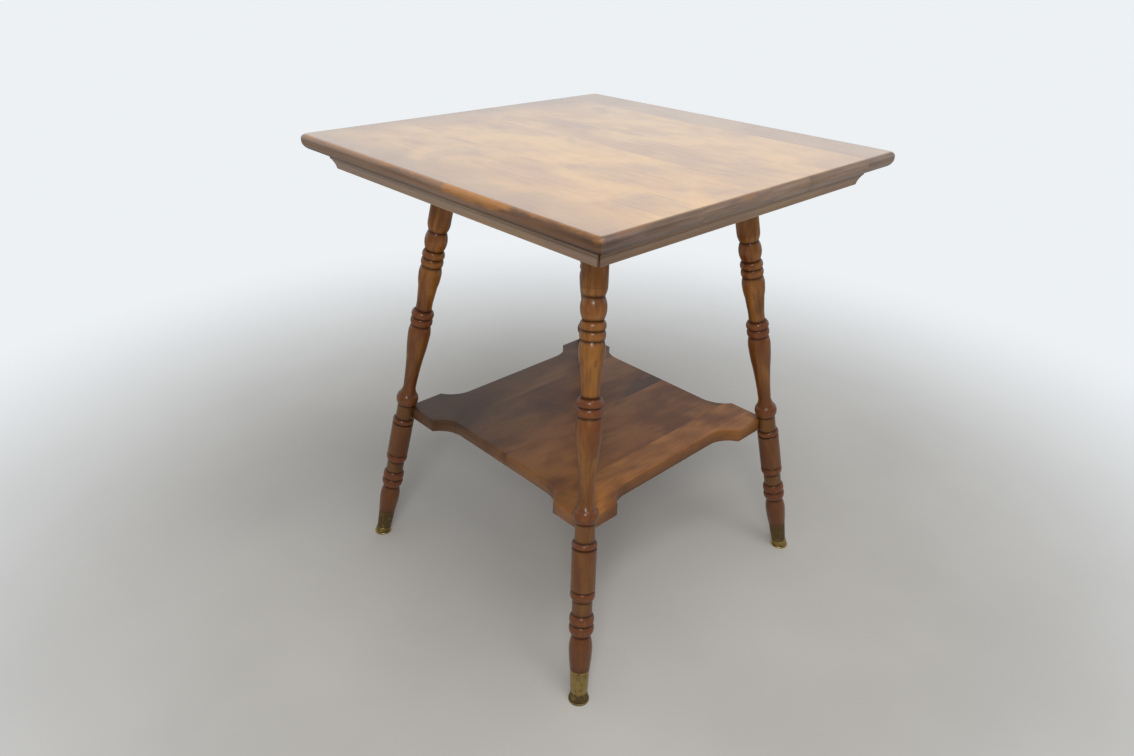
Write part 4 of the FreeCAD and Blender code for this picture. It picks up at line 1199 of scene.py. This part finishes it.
def drive_screws(n, given):
    """Nodes that put a slotted screw at each point, its slot turned at random."""
    head_radius, shank_radius, tip = (
        n.times(given[key], 0.5) for key in ("Head Diameter", "Shank Diameter", "Slot Width"))
    head = n.add("GeometryNodeMeshCone", {
        "Vertices": 32, "Radius Bottom": head_radius, "Radius Top": shank_radius,
        "Depth": given["Head Height"]})
    shank = n.add("GeometryNodeMeshCone", {
        "Vertices": 32, "Radius Bottom": shank_radius, "Radius Top": tip,
        "Depth": given["Length"]})
    lift = n.add("ShaderNodeCombineXYZ", {"Z": n.times(given["Head Height"], 0.5)})
    shank = n.add("GeometryNodeTransform", {"Geometry": shank, "Translation": lift})
    screw = n.add("GeometryNodeMeshBoolean", {"Mesh 2": head}, operation="UNION")
    n.fill(screw.node, {"Mesh 2": shank})
    slot = n.add("ShaderNodeCombineXYZ", {
        "X": given["Shank Diameter"], "Y": given["Slot Width"], "Z": given["Slot Width"]})
    slot = n.add("GeometryNodeMeshCube", {"Size": n.vector("MULTIPLY", slot, (4, 1, 2))})
    cut = n.add("GeometryNodeMeshBoolean", {"Mesh 1": screw, "Mesh 2": slot},
                operation="DIFFERENCE")
    turn = n.add("FunctionNodeRandomValue", {
        "Min": (0, 0, 0), "Max": (0, 0, math.pi), "Seed": 4}, data_type="FLOAT_VECTOR")
    return n.add("GeometryNodeInstanceOnPoints", {
        "Points": given["Source"], "Instance": cut, "Rotation": turn})


class OBJECT_OT_end_table_frame(bpy.types.Operator):
    """Finish the battens, glue blocks and dowels, and drive the screws"""
    bl_idname = "object.end_table_frame"
    bl_label = "Battens and Screws"

    def execute(self, context):
        for start, wood, along in PLAIN_PIECES:
            material = made_once(sawn_wood, wood, along)
            for name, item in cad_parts.items():
                if name.startswith(start) and name != "batten_screws":
                    item.data.materials.clear()
                    item.data.materials.append(material)
        middles = [(left + right) / 2 for left, right in zip(TOP_SEAMS, TOP_SEAMS[1:])]
        end = BATTEN_HIGH[0] - END_DISTANCE
        spots = (-end, *middles[:2], TOP_SEAMS[2] + SEAM_DISTANCE, end)
        places = bpy.data.meshes.new("places")
        places.from_pydata([(x, BATTEN_REACH * side, BATTEN_LOW[2]) for side in (-1, 1)
                            for x in spots], [], [])
        steel = made_once(oxidised_steel, "oxidised_steel_screw")
        given = {key: ("Float", size * MM) for key, size in SCREW_SIZES.items()}
        given["Finish"] = ("Material", steel)
        screws = grown("steel_screws", places, drive_screws, given)
        new_piece("steel_screws", screws, steel, "screw_steel", "batten_screws")
        return {"FINISHED"}


# --- the stage ---

CAMERA_PLACE = (-0.8614, -0.8305, 0.9745)
CAMERA_YAW = 44.434  # degrees from +Y towards +X
CAMERA_DROP = 28.241  # degrees below the level
CAMERA_ROLL = 1.619  # degrees
FOCAL_PIXELS = 817.45  # of an image 1134 pixels wide
IMAGE_WIDTH = 1134
FLOOR_RADIUS = 9.0
ROOM_LIGHT = 0.52  # strength of the room's light on dull surfaces
AIM = Vector((0, 0, 0.5))  # what the lamps point at
# Each lamp's place, the side of its square in metres and its power in watts.
LAMPS = {
    "overhead_softbox": ((-0.25, -0.75, 2.7), 1.2, 24.0),
    "front_softbox": ((-1.7, -1.5, 2.0), 0.7, 19.0),
}


def camera_turn():
    """The camera's rotation from its yaw, drop and roll."""
    yaw, drop, roll = (math.radians(v) for v in (CAMERA_YAW, CAMERA_DROP, CAMERA_ROLL))
    ahead = Vector((math.sin(yaw) * math.cos(drop), math.cos(yaw) * math.cos(drop),
                    -math.sin(drop)))
    level = Vector((math.cos(yaw), -math.sin(yaw), 0))
    above = level.cross(ahead)
    right = level * math.cos(roll) + above * math.sin(roll)
    up = right.cross(ahead)
    return Matrix((right, up, -ahead)).transposed().to_quaternion()


def stand_in_scene(name, data, place=(0, 0, 0), turn=(1, 0, 0, 0)):
    """Link an object of the stage at a place, turned by a quaternion."""
    item = bpy.data.objects.new(name, data)
    item.location = place
    item.rotation_mode = "QUATERNION"
    item.rotation_quaternion = turn
    bpy.context.scene.collection.objects.link(item)
    return item


class OBJECT_OT_end_table_stage(bpy.types.Operator):
    """Lay a plain floor, light it softly and set up the camera"""
    bl_idname = "object.end_table_stage"
    bl_label = "Stage"

    def execute(self, context):
        scene = context.scene
        bm = bmesh.new()
        bmesh.ops.create_circle(bm, cap_ends=True, segments=96, radius=FLOOR_RADIUS)
        floor = stand_in_scene("floor", to_mesh(bm, "floor"))
        floor.data.materials.append(made_once(painted_floor, "pale_floor_paint"))

        scene.world = bpy.data.worlds.new("soft_white_room")
        scene.world.use_nodes = True
        n = Nodes(scene.world.node_tree)
        ray = n.add("ShaderNodeLightPath").node.outputs
        # Reflections see white walls behind the table and a dimmer room in front of it.
        way = n.add("ShaderNodeTexCoord", out=0)
        behind = n.vector("DOT_PRODUCT", way, (0.707, 0.707, 0), out=1)
        mirrored = n.times(n.ramp(behind, -0.6, 0.4, 0.30, 1.0), ray["Is Glossy Ray"])
        seen = n.math("MAXIMUM", ray["Is Camera Ray"], ray["Is Transmission Ray"])
        direct = n.times(ray["Is Diffuse Ray"], ROOM_LIGHT)
        level = n.math("MAXIMUM", n.math("MAXIMUM", seen, mirrored), direct)
        n.fill(n.tree.nodes["Background"], {
            "Color": scene.end_table.finish.room, "Strength": level})

        for name, (place, side, power) in LAMPS.items():
            lamp = bpy.data.lights.new(name, "AREA")
            lamp.shape = "SQUARE"
            lamp.size = side
            lamp.energy = power
            stand_in_scene(name, lamp, place, (AIM - Vector(place)).to_track_quat("-Z", "Y"))

        camera = bpy.data.cameras.new("camera")
        camera.sensor_width = 36.0
        camera.lens = FOCAL_PIXELS / IMAGE_WIDTH * camera.sensor_width
        scene.camera = stand_in_scene("camera", camera, CAMERA_PLACE, camera_turn())
        scene.view_settings.view_transform = "Standard"
        return {"FINISHED"}


# --- the add-on ---


class VIEW3D_PT_end_table(bpy.types.Panel):
    """Buttons that build the table, piece by piece"""
    bl_label = "End Table"
    bl_space_type = "VIEW_3D"
    bl_region_type = "UI"
    bl_category = "End Table"

    def draw(self, context):
        for key in TableSettings.__annotations__:
            group = getattr(context.scene.end_table, key)
            column = self.layout.column(align=True)
            for name in group.__annotations__:
                column.prop(group, name)
        for operator in OPERATORS:
            self.layout.operator(operator.bl_idname)


OPERATORS = (
    OBJECT_OT_end_table_top,
    OBJECT_OT_end_table_apron,
    OBJECT_OT_end_table_legs,
    OBJECT_OT_end_table_feet,
    OBJECT_OT_end_table_shelf,
    OBJECT_OT_end_table_frame,
    OBJECT_OT_end_table_stage,
)
CLASSES = (TopSizes, LegSizes, FootSizes, ShelfSizes, Finishes, TableSettings, *OPERATORS,
           VIEW3D_PT_end_table)


def register():
    for item in CLASSES:
        bpy.utils.register_class(item)
    bpy.types.Scene.end_table = bpy.props.PointerProperty(
        type=TableSettings, name="End table", description="Sizes and colours of the table")


def unregister():
    del bpy.types.Scene.end_table
    for item in reversed(CLASSES):
        bpy.utils.unregister_class(item)


def main():
    register()
    bpy.ops.object.end_table_top()
    bpy.ops.object.end_table_apron()
    bpy.ops.object.end_table_legs()
    bpy.ops.object.end_table_feet()
    bpy.ops.object.end_table_shelf()
    bpy.ops.object.end_table_frame()
    bpy.ops.object.end_table_stage()


if __name__ == "__main__":
    main()
